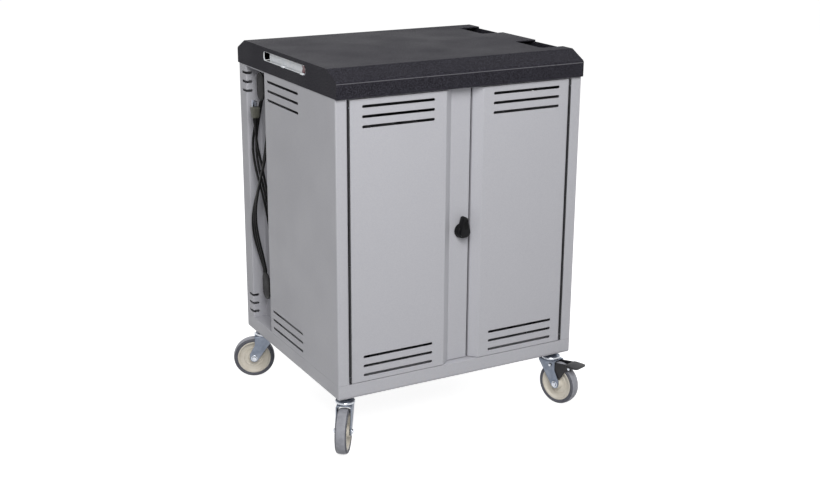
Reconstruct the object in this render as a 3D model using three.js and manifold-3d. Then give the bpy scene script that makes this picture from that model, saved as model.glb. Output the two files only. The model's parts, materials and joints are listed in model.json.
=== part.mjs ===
// Laptop charging cart: a steel cabinet on four swivel casters, with two hinged doors,
// a black lid, device bays on two shelves and a mains cord wound on cleats in a side bay.
// Millimetres, +Z up, front towards -Y, left side towards -X.
import * as THREE from 'three';
import { mergeVertices } from 'three/addons/utils/BufferGeometryUtils.js';
import Module from 'manifold-3d';

const wasm = await Module();
wasm.setup();

// Cabinet
const BODY_WIDTH = 760;
const BODY_HEIGHT = 826; // underside of the base to the top of the deck
const SHEET = 2; // steel sheet
const FOLD = 4; // outside radius of a fold
const TOUCH = 0.3; // gap between pieces that rest on each other
const OVERCUT = 1; // how far a cutting body passes the face that it opens
const BASE_BAND = 43;
const LIP_BEYOND = 10; // lip of the base band beyond the lower rod's hole
const BASE_ROUND = 8; // rounding of the base's lower edges
const STILE = 34; // width of the side panel's front face
const STILE_RETURN = 22;
const REAR_FLANGE = 28;
const RAIL_DROP = 32; // height of the header behind the doors' upper edge
const RAIL_FOOT = 30;
const RAIL_CLEAR = 1.5; // behind the closed doors

// Vent slots
const VENT_LENGTH = 214;
const VENT_WIDTH = 5.6;
const VENT_PITCH = 26.4;
const VENT_ROWS = 3;
const VENT_HIGH = 24; // upper row below the top of the deck
const VENT_LOW = 63; // lower row above the underside of the base
const SIDE_VENT_FROM = 230; // start of the side slots behind the front
const BACK_VENT_SPREAD = 340; // between the centres of the two groups in the back
const WRAP_STRIP = 31; // length of the corner slots on the side
const WRAP_BAY = 20; // and on the rear wall of the cord bay

// Cord bay in the left side
const BAY_CLEAR = 10.7; // behind the cable panel
const BAY_WIDTH = 135;
const BAY_STRIP = 52; // strip of the side panel behind the bay
const BAY_DEPTH = 45;

// Doors
const DOOR_GAP = 2; // above the base and below the deck
const HINGE_GAP = 6.5; // between door and stile
const CENTRE_GAP = 4.5; // between the two doors
const DOOR_SEAM = 37; // seam to the right of the middle
const CHANNEL_DEPTH = 22; // recessed strip between the doors
const CHANNEL_LEFT = -54; // where the left door's face ends
const LEFT_SLOPE = 26; // width of the slope on the left door
const RIGHT_SLOPE = 21; // and on the right door
const DOOR_RETURN = 20; // flange at the hinge edge
const EDGE_RETURN = 8; // flange at the free edge

// Piano hinges
const LEAF = 1;
const LEAF_DEPTH = 16;
const KNUCKLE = 2.6; // radius
const PIN = 1.3; // radius
const PIN_FIT = 0.25;
const KNUCKLES = 7;
const HINGE_INSET = 20; // from the door's ends

// Handle and lock rods
const HANDLE_X = 8.5;
const HANDLE_HEIGHT = 424.6; // above the underside of the base
const PLATE = 21; // radius of the round plate behind the knob
const PLATE_THICK = 4;
const KNOB = 19.5; // radius
const KNOB_DEEP = 15;
const KNOB_ROUND = 5; // rounding of the knob's face
const WING_UP = 44; // reach of the wing above the axis
const WING_TIP = 7; // radius of its tip
const WING_HEEL = 17; // radius of its lower end
const WING_STAND = 9.5; // wing in front of the knob's face
const WING_FOOT = 3; // wing's foot in front of the plate
const SPINDLE = 6; // radius
const SPINDLE_FIT = 0.4;
const CAM_THICK = 3;
const CAM_PIN = 2.5; // radius
const CAM_EAR = 5; // radius of the cam round a pin
const CAM_FIT = 0.9; // clearance of the pins in the rods' slots
const ROD = 4; // radius
const ROD_FIT = 0.5;
const ROD_TRAVEL = 18; // for a quarter turn
const ROD_CLEAR = 6; // from the withdrawn rod to its catch
const ROD_PLATE = 18; // height and width of the slotted plate
const ROD_PLATE_THICK = 4;
const GUIDE_HEIGHT = 22;
const GUIDE_FOOT = 8;
const GUIDE_INSET = 60; // from the rod's end

// Lid and power strip
const LID_HEIGHT = 70.8;
const LID_FACE = 43.7; // height of the upright front face
const LID_SLOPE = 55.7; // depth of the chamfer
const LID_OVERHANG = 7.7;
const LID_WALL = 3;
const LID_ROUND = 7;
const WINDOW_FROM = 178; // strip window in the left end, behind the front
const WINDOW_LENGTH = 285;
const WINDOW_LOW = 33; // above the lid's lower edge
const WINDOW_HEIGHT = 26;
const WINDOW_ROUND = 8;
const STRIP_LENGTH = 262;
const STRIP_DEEP = 44;
const STRIP_HEIGHT = 64;
const STRIP_SET = 5; // face behind the lid's inner wall
const SWITCH_WIDE = 16;
const SWITCH_HIGH = 20;
const SWITCH_DEEP = 12;
const SWITCH_IN = 20; // behind the window's front end
const SWITCH_FIT = 0.8;
const GRIP_LENGTH = 138; // hand holes in the lid's right edge
const GRIP_WIDE = 74;
const GRIP_DROP = 5; // lid's end below the top there
const GRIP_FRONT = 94; // behind the front
const GRIP_REAR = 406;
const GRIP_ROUND = 10;

// Shelves and bays
const BAYS = 10;
const DIVIDER = 3;
const DIVIDER_HEIGHT = 285;
const DIVIDER_ROUND = 60;
const RACK_SIDE = 22; // rack to side panel
const RACK_DEPTH = 360;
const RACK_FRONT = 32; // rack behind the shelf's front edge
const SHELF_CLEAR = 12; // behind the lock rods
const SHELF_EDGE = 18;
const UPPER_SHELF = 432; // above the underside of the base
const CABLE_HOLES = 5;
const CABLE_HOLE_LONG = 96;
const CABLE_HOLE_HIGH = 30;
const CABLE_HOLE_UP = 170; // above the shelf
const OUTLETS = 10;
const OUTLET_LENGTH = 610;
const OUTLET_HIGH = 52;
const OUTLET_DEEP = 40;
const OUTLET_UP = 230; // above the shelf
const SOCKET = 30;
const SOCKET_DEEP = 5;

// Cord, cleats and plug
const CORD = 3.5; // radius
const CORD_PITCH = 7.5; // between neighbouring strands
const CLEAT_POST = 17.5; // radius
const CLEAT_REACH = 25;
const CLEAT_WIDE = 52;
const CLEAT_HIGH = 84;
const CLEAT_FLANGE = 4;
const CLEAT_TOP = 54; // upper cleat's axis below the top of the deck
const CLEAT_LOW = 165; // lower cleat's axis above the underside of the base
const HANK_BULGE = 58; // half width of a loop
const HANK_WAIST = 20; // half width at the crossing
const HANK_OUT = 28; // how far the loops stand out between the cleats
const HANK_STEPS = 12; // facets of its outer face
const GLAND = 11; // radius of its nut
const GLAND_NUT = 8;
const GLAND_TAIL = 24;
const GLAND_ROOT = 7.5; // radius of the tail under the nut
const GLAND_TIP = 5.5; // and at its end
const PLUG_WIDE = 26;
const PLUG_DEEP = 24;
const PLUG_BODY = 34;
const PLUG_NECK = 24;
const PLUG_NECK_ROOT = 9.5; // radius of the neck at the body
const PLUG_NECK_TIP = 5; // and at the cord
const PLUG_OFFSET = 17; // behind the middle of the bay
const PLUG_DROP = 52; // lower end of its body below the cleat's flange
const BLADE = 17;
const BLADE_WIDE = 6.4;
const BLADE_THICK = 1.6;
const BLADE_SPREAD = 12.7;
const EARTH = 2.4; // radius of the earth pin
const EARTH_OVER = 3; // earth pin beyond the blades
const EARTH_SIDE = 7.7; // from the blades' plane

// Casters
const CASTER_HEIGHT = 158; // floor to the underside of the base
const CASTER_INSET = 38;
const TRAIL = 33;
const WHEEL = 63.5; // radius
const TREAD = 32; // width
const TREAD_DEEP = 13;
const TREAD_FLAT = 13; // width of the crown
const TREAD_CROWN = 24; // width just below the crown
const TREAD_DROP = 1.8; // how far below
const TREAD_SHOULDER = 6.5; // widest place below the crown
const HUB_WIDTH = 35;
const HUB_BOSS = 15; // radius
const HUB_DISH = 7; // half thickness of the web
const HUB_CONE = 5; // slope between boss and web
const RIM = 4; // thickness of the rim under the tread
const RIM_CONE = 5; // slope between web and rim
const RIM_WIDTH = 27;
const FORK_SHEET = 3;
const FORK_GAP = 38; // between the legs
const FORK_CLEAR = 6; // crown above the wheel
const FORK_FRONT = 28;
const FORK_REAR = 30;
const FORK_BOSS = 13; // radius round the axle
const RACE = 25; // radius of the swivel race
const RACE_HIGH = 14;
const RACE_EDGE = 6; // upright edge of the race
const RACE_TOP = 14; // radius of its flat top
const STEM = 6; // radius
const STEM_FIT = 0.6;
const STEM_NUT = 10;
const STEM_NUT_HIGH = 4;
const RIVET = 9; // radius of the stem's riveted end
const RIVET_ROUND = 2;
const AXLE = 4; // radius
const AXLE_FIT = 0.4;
const AXLE_HEAD = 7;
const AXLE_HEAD_HIGH = 5;
const PEDAL_PIVOT_X = 14;
const PEDAL_PIVOT_DROP = 12; // below the crown
const PEDAL_REACH = 112; // from the swivel axis
const PEDAL_LONG = 44;
const PEDAL_THICK = 4;
const PEDAL_WIDE = 50; // width of its tread plate
const PEDAL_SHEET = 2.2;
const PEDAL_RISE = 2; // tread above the crown's underside
const PEDAL_EYE = 7.2; // radius of a cheek round its rivet
const PEDAL_APRON = 23; // the cheeks keep this radius from the axle
const SHOE_X = 73; // near face of the shoe
const SHOE_LONG = 12;
const SHOE_ROUND = 2;
const SHOE_LOW = 14; // shoe below the tread
const RIVET_PIN = 3; // radius of the pedal's rivets
const RIVET_HEAD = 5; // radius of their heads outside the legs
const RIVET_HEAD_HIGH = 2;

// Facets
const FOLD_STEPS = 2; // facets of a fold
const ARC_STEPS = 1; // half the facets of an arc in an outline
const SLOT_STEPS = 2; // and of a wider arc
const WHEEL_SIDES = 24;
const HUB_SIDES = 16;
const ROUND_SIDES = 12;
const STEM_SIDES = 8;
const KNUCKLE_SIDES = 8;
const HEX_SIDES = 6;

// Depth of the cart, from the doors back over rods, shelf, cable panel and cord bay
const ROD_FROM = CHANNEL_DEPTH + EDGE_RETURN + RAIL_CLEAR + SHEET + ROD_FIT + ROD;
const SHELF_FROM = ROD_FROM + ROD + SHELF_CLEAR;
const SHELF_DEPTH = RACK_FRONT + RACK_DEPTH + FOLD + SHEET;
const BAY_FROM = SHELF_FROM + SHELF_DEPTH + TOUCH + SHEET + BAY_CLEAR;
const BODY_DEPTH = BAY_FROM + BAY_WIDTH + BAY_STRIP;

// Places that several pieces share
const LEFT = -BODY_WIDTH / 2;
const RIGHT = BODY_WIDTH / 2;
const FRONT = -BODY_DEPTH / 2;
const REAR = BODY_DEPTH / 2;
const BASE_Z = CASTER_HEIGHT;
const BAND_TOP = BASE_Z + BASE_BAND;
const PANEL_Z = BAND_TOP + TOUCH;
const DECK_TOP = BASE_Z + BODY_HEIGHT;
const DECK_Z = DECK_TOP - SHEET;
const PANEL_TOP = DECK_Z - TOUCH;
const INNER = BODY_WIDTH / 2 - SHEET - TOUCH; // half width between the side panels
const BAY_FRONT = FRONT + BAY_FROM;
const BAY_REAR = BAY_FRONT + BAY_WIDTH;
const BAY_WALL = LEFT + BAY_DEPTH;
const BAY_MIDDLE = (BAY_FRONT + BAY_REAR) / 2;
const DOOR_Z = BAND_TOP + DOOR_GAP;
const DOOR_TOP = DECK_Z - DOOR_GAP;
const DOOR_EDGE = BODY_WIDTH / 2 - STILE - HINGE_GAP; // half width over both doors
const HINGE_X = BODY_WIDTH / 2 - STILE - HINGE_GAP / 2;
const STRIP_FRONT = FRONT + CHANNEL_DEPTH;
const STRIP_BACK = STRIP_FRONT + SHEET;
const RAIL_FRONT = STRIP_FRONT + EDGE_RETURN + RAIL_CLEAR;
const ROD_Y = FRONT + ROD_FROM;
const BASE_LIP = ROD_Y + ROD + LIP_BEYOND - FRONT;
const HANDLE_Z = BASE_Z + HANDLE_HEIGHT;
const SPINDLE_HOLE = SPINDLE + SPINDLE_FIT;
const ROD_SIDE = ROD_TRAVEL / 2; // rod axis beside the handle's axis
const CAM_ARM = ROD_SIDE * Math.SQRT2;
const LID_Z = DECK_TOP + TOUCH;
const LID_TOP = LID_Z + LID_HEIGHT;
const SHELF_Y = FRONT + SHELF_FROM;
const RACK_Y = SHELF_Y + RACK_FRONT;
const SHELF_REAR = SHELF_Y + SHELF_DEPTH;
const LOWER_SHELF_Z = BAND_TOP + TOUCH;
const UPPER_SHELF_Z = BASE_Z + UPPER_SHELF;
const CABLE_Y = SHELF_REAR + TOUCH;
const CLEAT_X = BAY_WALL - TOUCH - CLEAT_REACH;
const UPPER_CLEAT_Z = DECK_TOP - CLEAT_TOP;
const LOWER_CLEAT_Z = BASE_Z + CLEAT_LOW;
const CROWN_Z = 2 * WHEEL + FORK_CLEAR;
const FORK_OUT = FORK_GAP / 2 + FORK_SHEET;

// Finishes
const silverPaint = { color: 0xb4b4ba, roughness: 0.5, metalness: 0.1 };
const blackPaint = { color: 0x2b2b30, roughness: 0.6, metalness: 0.1 };
const innerSteel = { color: 0xa2a4a8, roughness: 0.5, metalness: 0.3 };
const zinc = { color: 0x9aa0aa, roughness: 0.35, metalness: 0.9 };
const blackSteel = { color: 0x1c1c1f, roughness: 0.45, metalness: 0.6 };
const blackPlastic = { color: 0x151516, roughness: 0.55, metalness: 0 };
const whiteShell = { color: 0xdfe2e8, roughness: 0.4, metalness: 0.1 };
const redPlastic = { color: 0x5a1420, roughness: 0.4, metalness: 0 };
const creamPlastic = { color: 0xd2cdbf, roughness: 0.5, metalness: 0 };
const greyRubber = { color: 0x6c6c72, roughness: 0.8, metalness: 0 };
const blackRubber = { color: 0x101011, roughness: 0.7, metalness: 0 };

// Closed solid of a geometry, ready to be joined and cut
function solid(geometry) {
  geometry.deleteAttribute('normal');
  geometry.deleteAttribute('uv');
  const merged = mergeVertices(geometry, 1e-4);
  const vertProperties = new Float32Array(merged.attributes.position.array);
  const triVerts = new Uint32Array(merged.index.array);
  return new wasm.Manifold(new wasm.Mesh({ numProp: 3, vertProperties, triVerts }));
}

function join(parts) {
  return parts.reduce((whole, part) => whole.add(part));
}

function cut(body, tools) {
  return tools.reduce((rest, tool) => rest.subtract(tool), body);
}

function extrusion(shape, length, steps = ARC_STEPS) {
  return new THREE.ExtrudeGeometry(shape, { depth: length, bevelEnabled: false, curveSegments: steps });
}

function turned(geometry, across, upward, along) {
  return geometry.applyMatrix4(new THREE.Matrix4().makeBasis(across, upward, along));
}

const AXIS_X = new THREE.Vector3(1, 0, 0);
const AXIS_Y = new THREE.Vector3(0, 1, 0);
const AXIS_Z = new THREE.Vector3(0, 0, 1);

// Outline drawn in x, y
function alongZ(shape, z0, z1, steps) {
  return solid(extrusion(shape, z1 - z0, steps).translate(0, 0, z0));
}

// Outline drawn in y, z
function alongX(shape, x0, x1, steps) {
  return solid(turned(extrusion(shape, x1 - x0, steps), AXIS_Y, AXIS_Z, AXIS_X).translate(x0, 0, 0));
}

// Outline drawn in x, z
function alongY(shape, y0, y1, steps) {
  const back = AXIS_Y.clone().negate();
  return solid(turned(extrusion(shape, y1 - y0, steps), AXIS_X, AXIS_Z, back).translate(0, y1, 0));
}

function block(x0, x1, y0, y1, z0, z1) {
  const box = new THREE.BoxGeometry(Math.abs(x1 - x0), Math.abs(y1 - y0), Math.abs(z1 - z0));
  return solid(box.translate((x0 + x1) / 2, (y0 + y1) / 2, (z0 + z1) / 2));
}

// Round bar between two heights
function rodZ(x, y, radius, z0, z1, sides = ROUND_SIDES) {
  const bar = new THREE.CylinderGeometry(radius, radius, z1 - z0, sides);
  return solid(bar.rotateX(Math.PI / 2).translate(x, y, (z0 + z1) / 2));
}

// Round bar from left to right
function rodX(y, z, radius, x0, x1, sides = ROUND_SIDES) {
  const bar = new THREE.CylinderGeometry(radius, radius, x1 - x0, sides);
  return solid(bar.rotateZ(Math.PI / 2).translate((x0 + x1) / 2, y, z));
}

// Round bar from front to back
function rodY(x, z, radius, y0, y1, sides = ROUND_SIDES) {
  const bar = new THREE.CylinderGeometry(radius, radius, y1 - y0, sides);
  return solid(bar.translate(x, (y0 + y1) / 2, z));
}

// Solid of revolution about an upright axis, profile in radius and height
function turnedZ(profile, x, y, sides = ROUND_SIDES) {
  const lathe = new THREE.LatheGeometry(profile, sides);
  return solid(lathe.rotateX(Math.PI / 2).translate(x, y, 0));
}

const point = (u, v) => new THREE.Vector2(u, v);

function outline(points) {
  return new THREE.Shape(points);
}

function rectangle(u0, u1, v0, v1) {
  return outline([point(u0, v0), point(u1, v0), point(u1, v1), point(u0, v1)]);
}

function roundedRectangle(u0, u1, v0, v1, radius) {
  const shape = new THREE.Shape();
  shape.absarc(u1 - radius, v0 + radius, radius, -Math.PI / 2, 0);
  shape.absarc(u1 - radius, v1 - radius, radius, 0, Math.PI / 2);
  shape.absarc(u0 + radius, v1 - radius, radius, Math.PI / 2, Math.PI);
  shape.absarc(u0 + radius, v0 + radius, radius, Math.PI, 1.5 * Math.PI);
  return shape;
}

// Slot with round ends
function slot(u0, u1, v, width) {
  const shape = new THREE.Shape();
  shape.absarc(u1 - width / 2, v, width / 2, -Math.PI / 2, Math.PI / 2);
  shape.absarc(u0 + width / 2, v, width / 2, Math.PI / 2, 1.5 * Math.PI);
  return shape;
}

// Upright slot with round ends
function uprightSlot(u, v0, v1, width) {
  const shape = new THREE.Shape();
  shape.absarc(u, v1 - width / 2, width / 2, 0, Math.PI);
  shape.absarc(u, v0 + width / 2, width / 2, Math.PI, 2 * Math.PI);
  return shape;
}

// Open path whose inner corners are rounded
function bentPath(corners, radius) {
  const path = [corners[0]];
  for (let i = 1; i < corners.length - 1; i += 1) {
    const before = corners[i - 1].clone().sub(corners[i]).normalize();
    const after = corners[i + 1].clone().sub(corners[i]).normalize();
    const half = Math.acos(before.dot(after)) / 2;
    const middle = before.clone().add(after).normalize();
    middle.multiplyScalar(radius / Math.sin(half)).add(corners[i]);
    const spoke = before.clone().multiplyScalar(radius / Math.tan(half)).add(corners[i]).sub(middle);
    const sweep = Math.sign(after.cross(before)) * (Math.PI - 2 * half);
    for (let k = 0; k <= FOLD_STEPS; k += 1) {
      const turn = (sweep * k) / FOLD_STEPS;
      path.push(spoke.clone().rotateAround(point(0, 0), turn).add(middle));
    }
  }
  path.push(corners[corners.length - 1]);
  return path;
}

// Path beside another one, to its left
function besidePath(path, distance) {
  return path.map((here, i) => {
    const entry = here.clone().sub(path[Math.max(i - 1, 0)]);
    const leave = path[Math.min(i + 1, path.length - 1)].clone().sub(here);
    const first = (entry.lengthSq() ? entry : leave).clone().normalize();
    const second = (leave.lengthSq() ? leave : entry).clone().normalize();
    const normal = point(-first.y - second.y, first.x + second.x).normalize();
    const stretch = distance / (-normal.x * first.y + normal.y * first.x);
    return here.clone().addScaledVector(normal, stretch);
  });
}

// Section of a folded sheet: its face follows the corners, its thickness lies to their left
function sheet(corners, thickness = SHEET, radius = FOLD) {
  const face = bentPath(corners, radius);
  return outline([...face, ...besidePath(face, thickness).reverse()]);
}

const cart = new THREE.Group();
const cordPieces = [];

function piece(name, body, finish, parent = cart) {
  const data = body.getMesh();
  const geometry = new THREE.BufferGeometry();
  geometry.setAttribute('position', new THREE.BufferAttribute(new Float32Array(data.vertProperties), 3));
  geometry.setIndex(new THREE.BufferAttribute(new Uint32Array(data.triVerts), 1));
  geometry.computeVertexNormals();
  const mesh = new THREE.Mesh(geometry, new THREE.MeshStandardMaterial(finish));
  mesh.name = name;
  parent.add(mesh);
  return mesh;
}

// Heights of the slot rows, upper and lower group
const ventRows = [];
for (let row = 0; row < VENT_ROWS; row += 1) {
  ventRows.push(DECK_TOP - VENT_HIGH - row * VENT_PITCH);
  ventRows.push(BASE_Z + VENT_LOW + row * VENT_PITCH);
}

function ventsThroughY(from, to, y0, y1) {
  return ventRows.map((z) => alongY(slot(from, to, z, VENT_WIDTH), y0, y1, SLOT_STEPS));
}

function ventGroup(middle, y0, y1) {
  return ventsThroughY(middle - VENT_LENGTH / 2, middle + VENT_LENGTH / 2, y0, y1);
}

function ventsThroughX(from, to, x0, x1) {
  return ventRows.map((z) => alongX(slot(from, to, z, VENT_WIDTH), x0, x1, SLOT_STEPS));
}

// Base pan: a tub with rounded lower edges and an inward lip
function tub(inset) {
  const round = BASE_ROUND - inset;
  const low = BASE_Z + inset;
  const section = (half) => {
    const shape = new THREE.Shape([point(half, BAND_TOP), point(-half, BAND_TOP)]);
    shape.absarc(-half + round, low + round, round, Math.PI, 1.5 * Math.PI);
    shape.absarc(half - round, low + round, round, -Math.PI / 2, 0);
    return shape;
  };
  const across = alongY(section(RIGHT - inset), FRONT + inset, REAR - inset);
  const along = alongX(section(REAR - inset), LEFT + inset, RIGHT - inset);
  const corner = FOLD - inset;
  const plan = roundedRectangle(LEFT + inset, RIGHT - inset, FRONT + inset, REAR - inset, corner);
  return across.intersect(along).intersect(alongZ(plan, BASE_Z, BAND_TOP));
}

const casterPlaces = [];
for (const side of [-1, 1]) {
  for (const end of [-1, 1]) {
    casterPlaces.push(point(side * (RIGHT - CASTER_INSET), end * (REAR - CASTER_INSET)));
  }
}

function basePan() {
  const lip = roundedRectangle(LEFT, RIGHT, FRONT, REAR, FOLD);
  const inner = [LEFT + BASE_LIP, RIGHT - BASE_LIP, FRONT + BASE_LIP, REAR - BASE_LIP];
  lip.holes.push(roundedRectangle(...inner, BASE_LIP / 4));
  const shell = tub(0).subtract(tub(SHEET)).add(alongZ(lip, BAND_TOP - SHEET, BAND_TOP));
  const holes = casterPlaces.map((place) => {
    const through = [BASE_Z - SHEET, BASE_Z + 2 * SHEET];
    return rodZ(place.x, place.y, STEM + STEM_FIT, ...through, STEM_SIDES);
  });
  const rodHole = ROD + 2 * ROD_FIT;
  holes.push(rodZ(HANDLE_X - ROD_SIDE, ROD_Y, rodHole, BAND_TOP - 2 * SHEET, BAND_TOP + SHEET));
  return cut(shell, holes);
}

piece('base_pan', basePan(), silverPaint);

// Side panels: stile, side, rear flange, and on the left the cord bay
function leftSide() {
  const section = sheet([
    point(LEFT + STILE, FRONT + STILE_RETURN),
    point(LEFT + STILE, FRONT),
    point(LEFT, FRONT),
    point(LEFT, BAY_FRONT),
    point(BAY_WALL, BAY_FRONT),
    point(BAY_WALL, BAY_REAR),
    point(LEFT, BAY_REAR),
    point(LEFT, REAR),
    point(LEFT + REAR_FLANGE, REAR),
  ], -SHEET);
  const from = FRONT + SIDE_VENT_FROM;
  const vents = ventsThroughX(from, from + VENT_LENGTH, LEFT - SHEET, LEFT + 2 * SHEET);
  const strip = ventsThroughX(BAY_REAR - WRAP_STRIP, BAY_REAR + WRAP_STRIP, LEFT - SHEET, LEFT + FOLD);
  const wall = ventsThroughY(LEFT - WRAP_BAY, LEFT + WRAP_BAY, BAY_REAR - SHEET, BAY_REAR + FOLD);
  return cut(alongZ(section, PANEL_Z, PANEL_TOP), [...vents, ...strip, ...wall]);
}

function rightSide() {
  const section = sheet([
    point(RIGHT - STILE, FRONT + STILE_RETURN),
    point(RIGHT - STILE, FRONT),
    point(RIGHT, FRONT),
    point(RIGHT, REAR),
    point(RIGHT - REAR_FLANGE, REAR),
  ]);
  const from = FRONT + SIDE_VENT_FROM;
  const vents = ventsThroughX(from, from + VENT_LENGTH, RIGHT - 2 * SHEET, RIGHT + SHEET);
  return cut(alongZ(section, PANEL_Z, PANEL_TOP), vents);
}

piece('left_side_panel', leftSide(), silverPaint);
piece('right_side_panel', rightSide(), silverPaint);

// Back panel, inside the side panels' rear flanges
function backPanel() {
  const y1 = REAR - SHEET - TOUCH;
  const half = INNER - FOLD;
  const plate = block(-half, half, y1 - SHEET, y1, PANEL_Z, PANEL_TOP);
  const middles = [-BACK_VENT_SPREAD / 2, BACK_VENT_SPREAD / 2];
  const vents = middles.flatMap((middle) => ventGroup(middle, y1 - 2 * SHEET, y1 + SHEET));
  return cut(plate, vents);
}

piece('back_panel', backPanel(), silverPaint);

// Deck over the cabinet, with the hole of the cord's gland, and the header behind the doors
const LEAD_Y = BAY_MIDDLE - CLEAT_POST - CORD - 3 * CORD_PITCH;
const LEAD_X = BAY_WALL - TOUCH - CORD - 2 * CORD_PITCH;

function topDeck() {
  const plan = roundedRectangle(LEFT, RIGHT, FRONT, REAR, FOLD);
  const hole = rodZ(LEAD_X, LEAD_Y, CORD + 2 * TOUCH, DECK_Z - SHEET, DECK_TOP + SHEET);
  return alongZ(plan, DECK_Z, DECK_TOP).subtract(hole);
}

function topRail() {
  const section = sheet([
    point(RAIL_FRONT + RAIL_FOOT, PANEL_TOP - RAIL_DROP),
    point(RAIL_FRONT, PANEL_TOP - RAIL_DROP),
    point(RAIL_FRONT, PANEL_TOP),
    point(RAIL_FRONT + RAIL_FOOT, PANEL_TOP),
  ], -SHEET);
  const rodHole = ROD + 2 * ROD_FIT;
  const low = PANEL_TOP - RAIL_DROP;
  const hole = rodZ(HANDLE_X + ROD_SIDE, ROD_Y, rodHole, low - SHEET, low + 2 * SHEET);
  return alongX(section, -INNER, INNER).subtract(hole);
}

piece('top_deck', topDeck(), silverPaint);
piece('top_rail', topRail(), silverPaint);

// Lid: a folded shell with closed ends, a window for the power strip and two hand holes
const LID_FRONT = FRONT - LID_OVERHANG;
const LID_REAR = REAR + LID_OVERHANG;
const WINDOW_Z = LID_Z + WINDOW_LOW;
const GRIP_X = RIGHT - GRIP_WIDE;

function lidCorners() {
  return [
    point(LID_REAR, LID_Z),
    point(LID_REAR, LID_Z + LID_FACE),
    point(LID_REAR - LID_SLOPE, LID_TOP),
    point(LID_FRONT + LID_SLOPE, LID_TOP),
    point(LID_FRONT, LID_Z + LID_FACE),
    point(LID_FRONT, LID_Z),
  ];
}

function lid() {
  const face = bentPath(lidCorners(), LID_ROUND);
  const inner = besidePath(face, LID_WALL);
  inner[0].y -= LID_WALL;
  inner[inner.length - 1].y -= LID_WALL;
  const hollow = alongX(outline(inner), LEFT + LID_WALL, RIGHT - LID_WALL);
  const shell = alongX(outline(face), LEFT, RIGHT).subtract(hollow);
  const from = FRONT + WINDOW_FROM;
  const hole = [from, from + WINDOW_LENGTH, WINDOW_Z, WINDOW_Z + WINDOW_HEIGHT];
  const window = alongX(roundedRectangle(...hole, WINDOW_ROUND), LEFT - LID_WALL, LEFT + 2 * LID_WALL);
  const grips = [GRIP_FRONT, GRIP_REAR].map((behind) => {
    const y0 = FRONT + behind;
    const mouth = roundedRectangle(GRIP_X, RIGHT + 2 * GRIP_ROUND, y0, y0 + GRIP_LENGTH, GRIP_ROUND);
    return alongZ(mouth, LID_TOP - GRIP_DROP, LID_TOP + LID_WALL);
  });
  return cut(shell, [window, ...grips]);
}

piece('lid', lid(), blackPaint);

// Power strip behind the window, with its rocker switch
const STRIP_X = LEFT + LID_WALL + STRIP_SET;
const STRIP_Y = FRONT + WINDOW_FROM - WINDOW_ROUND / 2;
const SWITCH_Y = FRONT + WINDOW_FROM + SWITCH_IN + SWITCH_WIDE / 2;
const SWITCH_Z = WINDOW_Z + WINDOW_HEIGHT / 2;

function powerStrip() {
  const section = roundedRectangle(STRIP_X, STRIP_X + STRIP_DEEP, LID_Z, LID_Z + STRIP_HEIGHT, FOLD);
  const housing = alongY(section, STRIP_Y, STRIP_Y + STRIP_LENGTH);
  const wide = SWITCH_WIDE / 2 + SWITCH_FIT;
  const high = SWITCH_HIGH / 2 + SWITCH_FIT;
  const pocket = block(STRIP_X - OVERCUT, STRIP_X + SWITCH_DEEP + SWITCH_FIT,
    SWITCH_Y - wide, SWITCH_Y + wide, SWITCH_Z - high, SWITCH_Z + high);
  const bearing = rodY(STRIP_X + SWITCH_DEEP / 2, SWITCH_Z, SWITCH_FIT + PIN,
    SWITCH_Y - wide - 2 * PIN, SWITCH_Y + wide + 2 * PIN, KNUCKLE_SIDES);
  return cut(housing, [pocket, bearing]);
}

// Rocker with a hollowed face and two trunnions
function powerSwitch() {
  const middle = STRIP_X + SWITCH_DEEP / 2;
  const half = SWITCH_HIGH / 2;
  const section = outline([
    point(STRIP_X - 2.5 * SWITCH_FIT, SWITCH_Z - half),
    point(middle + half / 4, SWITCH_Z - half / 2),
    point(middle + half / 4, SWITCH_Z + half / 2),
    point(STRIP_X - 2.5 * SWITCH_FIT, SWITCH_Z + half),
    point(STRIP_X, SWITCH_Z),
  ]);
  const rocker = alongY(section, SWITCH_Y - SWITCH_WIDE / 2, SWITCH_Y + SWITCH_WIDE / 2);
  const reach = SWITCH_WIDE / 2 + SWITCH_FIT + 1.5 * PIN;
  return rocker.add(rodY(middle, SWITCH_Z, PIN, SWITCH_Y - reach, SWITCH_Y + reach, KNUCKLE_SIDES));
}

piece('power_strip', powerStrip(), whiteShell);
piece('power_switch', powerSwitch(), redPlastic);

// Shelves, the panel that parts the device bays from the wiring, and the divider racks
function shelf(z, edge) {
  const section = sheet([
    point(SHELF_Y, z + edge),
    point(SHELF_Y, z),
    point(SHELF_REAR, z),
    point(SHELF_REAR, z + edge),
  ], Math.sign(edge) * SHEET);
  return alongX(section, -INNER, INNER);
}

function cablePanel() {
  const plate = block(-INNER, INNER, CABLE_Y, CABLE_Y + SHEET, PANEL_Z, PANEL_TOP);
  const pitch = (2 * INNER) / CABLE_HOLES;
  const half = CABLE_HOLE_LONG / 2;
  const holes = [];
  for (const z of [LOWER_SHELF_Z, UPPER_SHELF_Z]) {
    for (let i = 0; i < CABLE_HOLES; i += 1) {
      const middle = -INNER + pitch * (i + 0.5);
      const shape = slot(middle - half, middle + half, z + CABLE_HOLE_UP, CABLE_HOLE_HIGH);
      holes.push(alongY(shape, CABLE_Y - SHEET, CABLE_Y + 2 * SHEET, SLOT_STEPS));
    }
  }
  return cut(plate, holes);
}

const RACK_HALF = INNER - RACK_SIDE;
const BAY_PITCH = (2 * RACK_HALF - DIVIDER) / BAYS;

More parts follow.
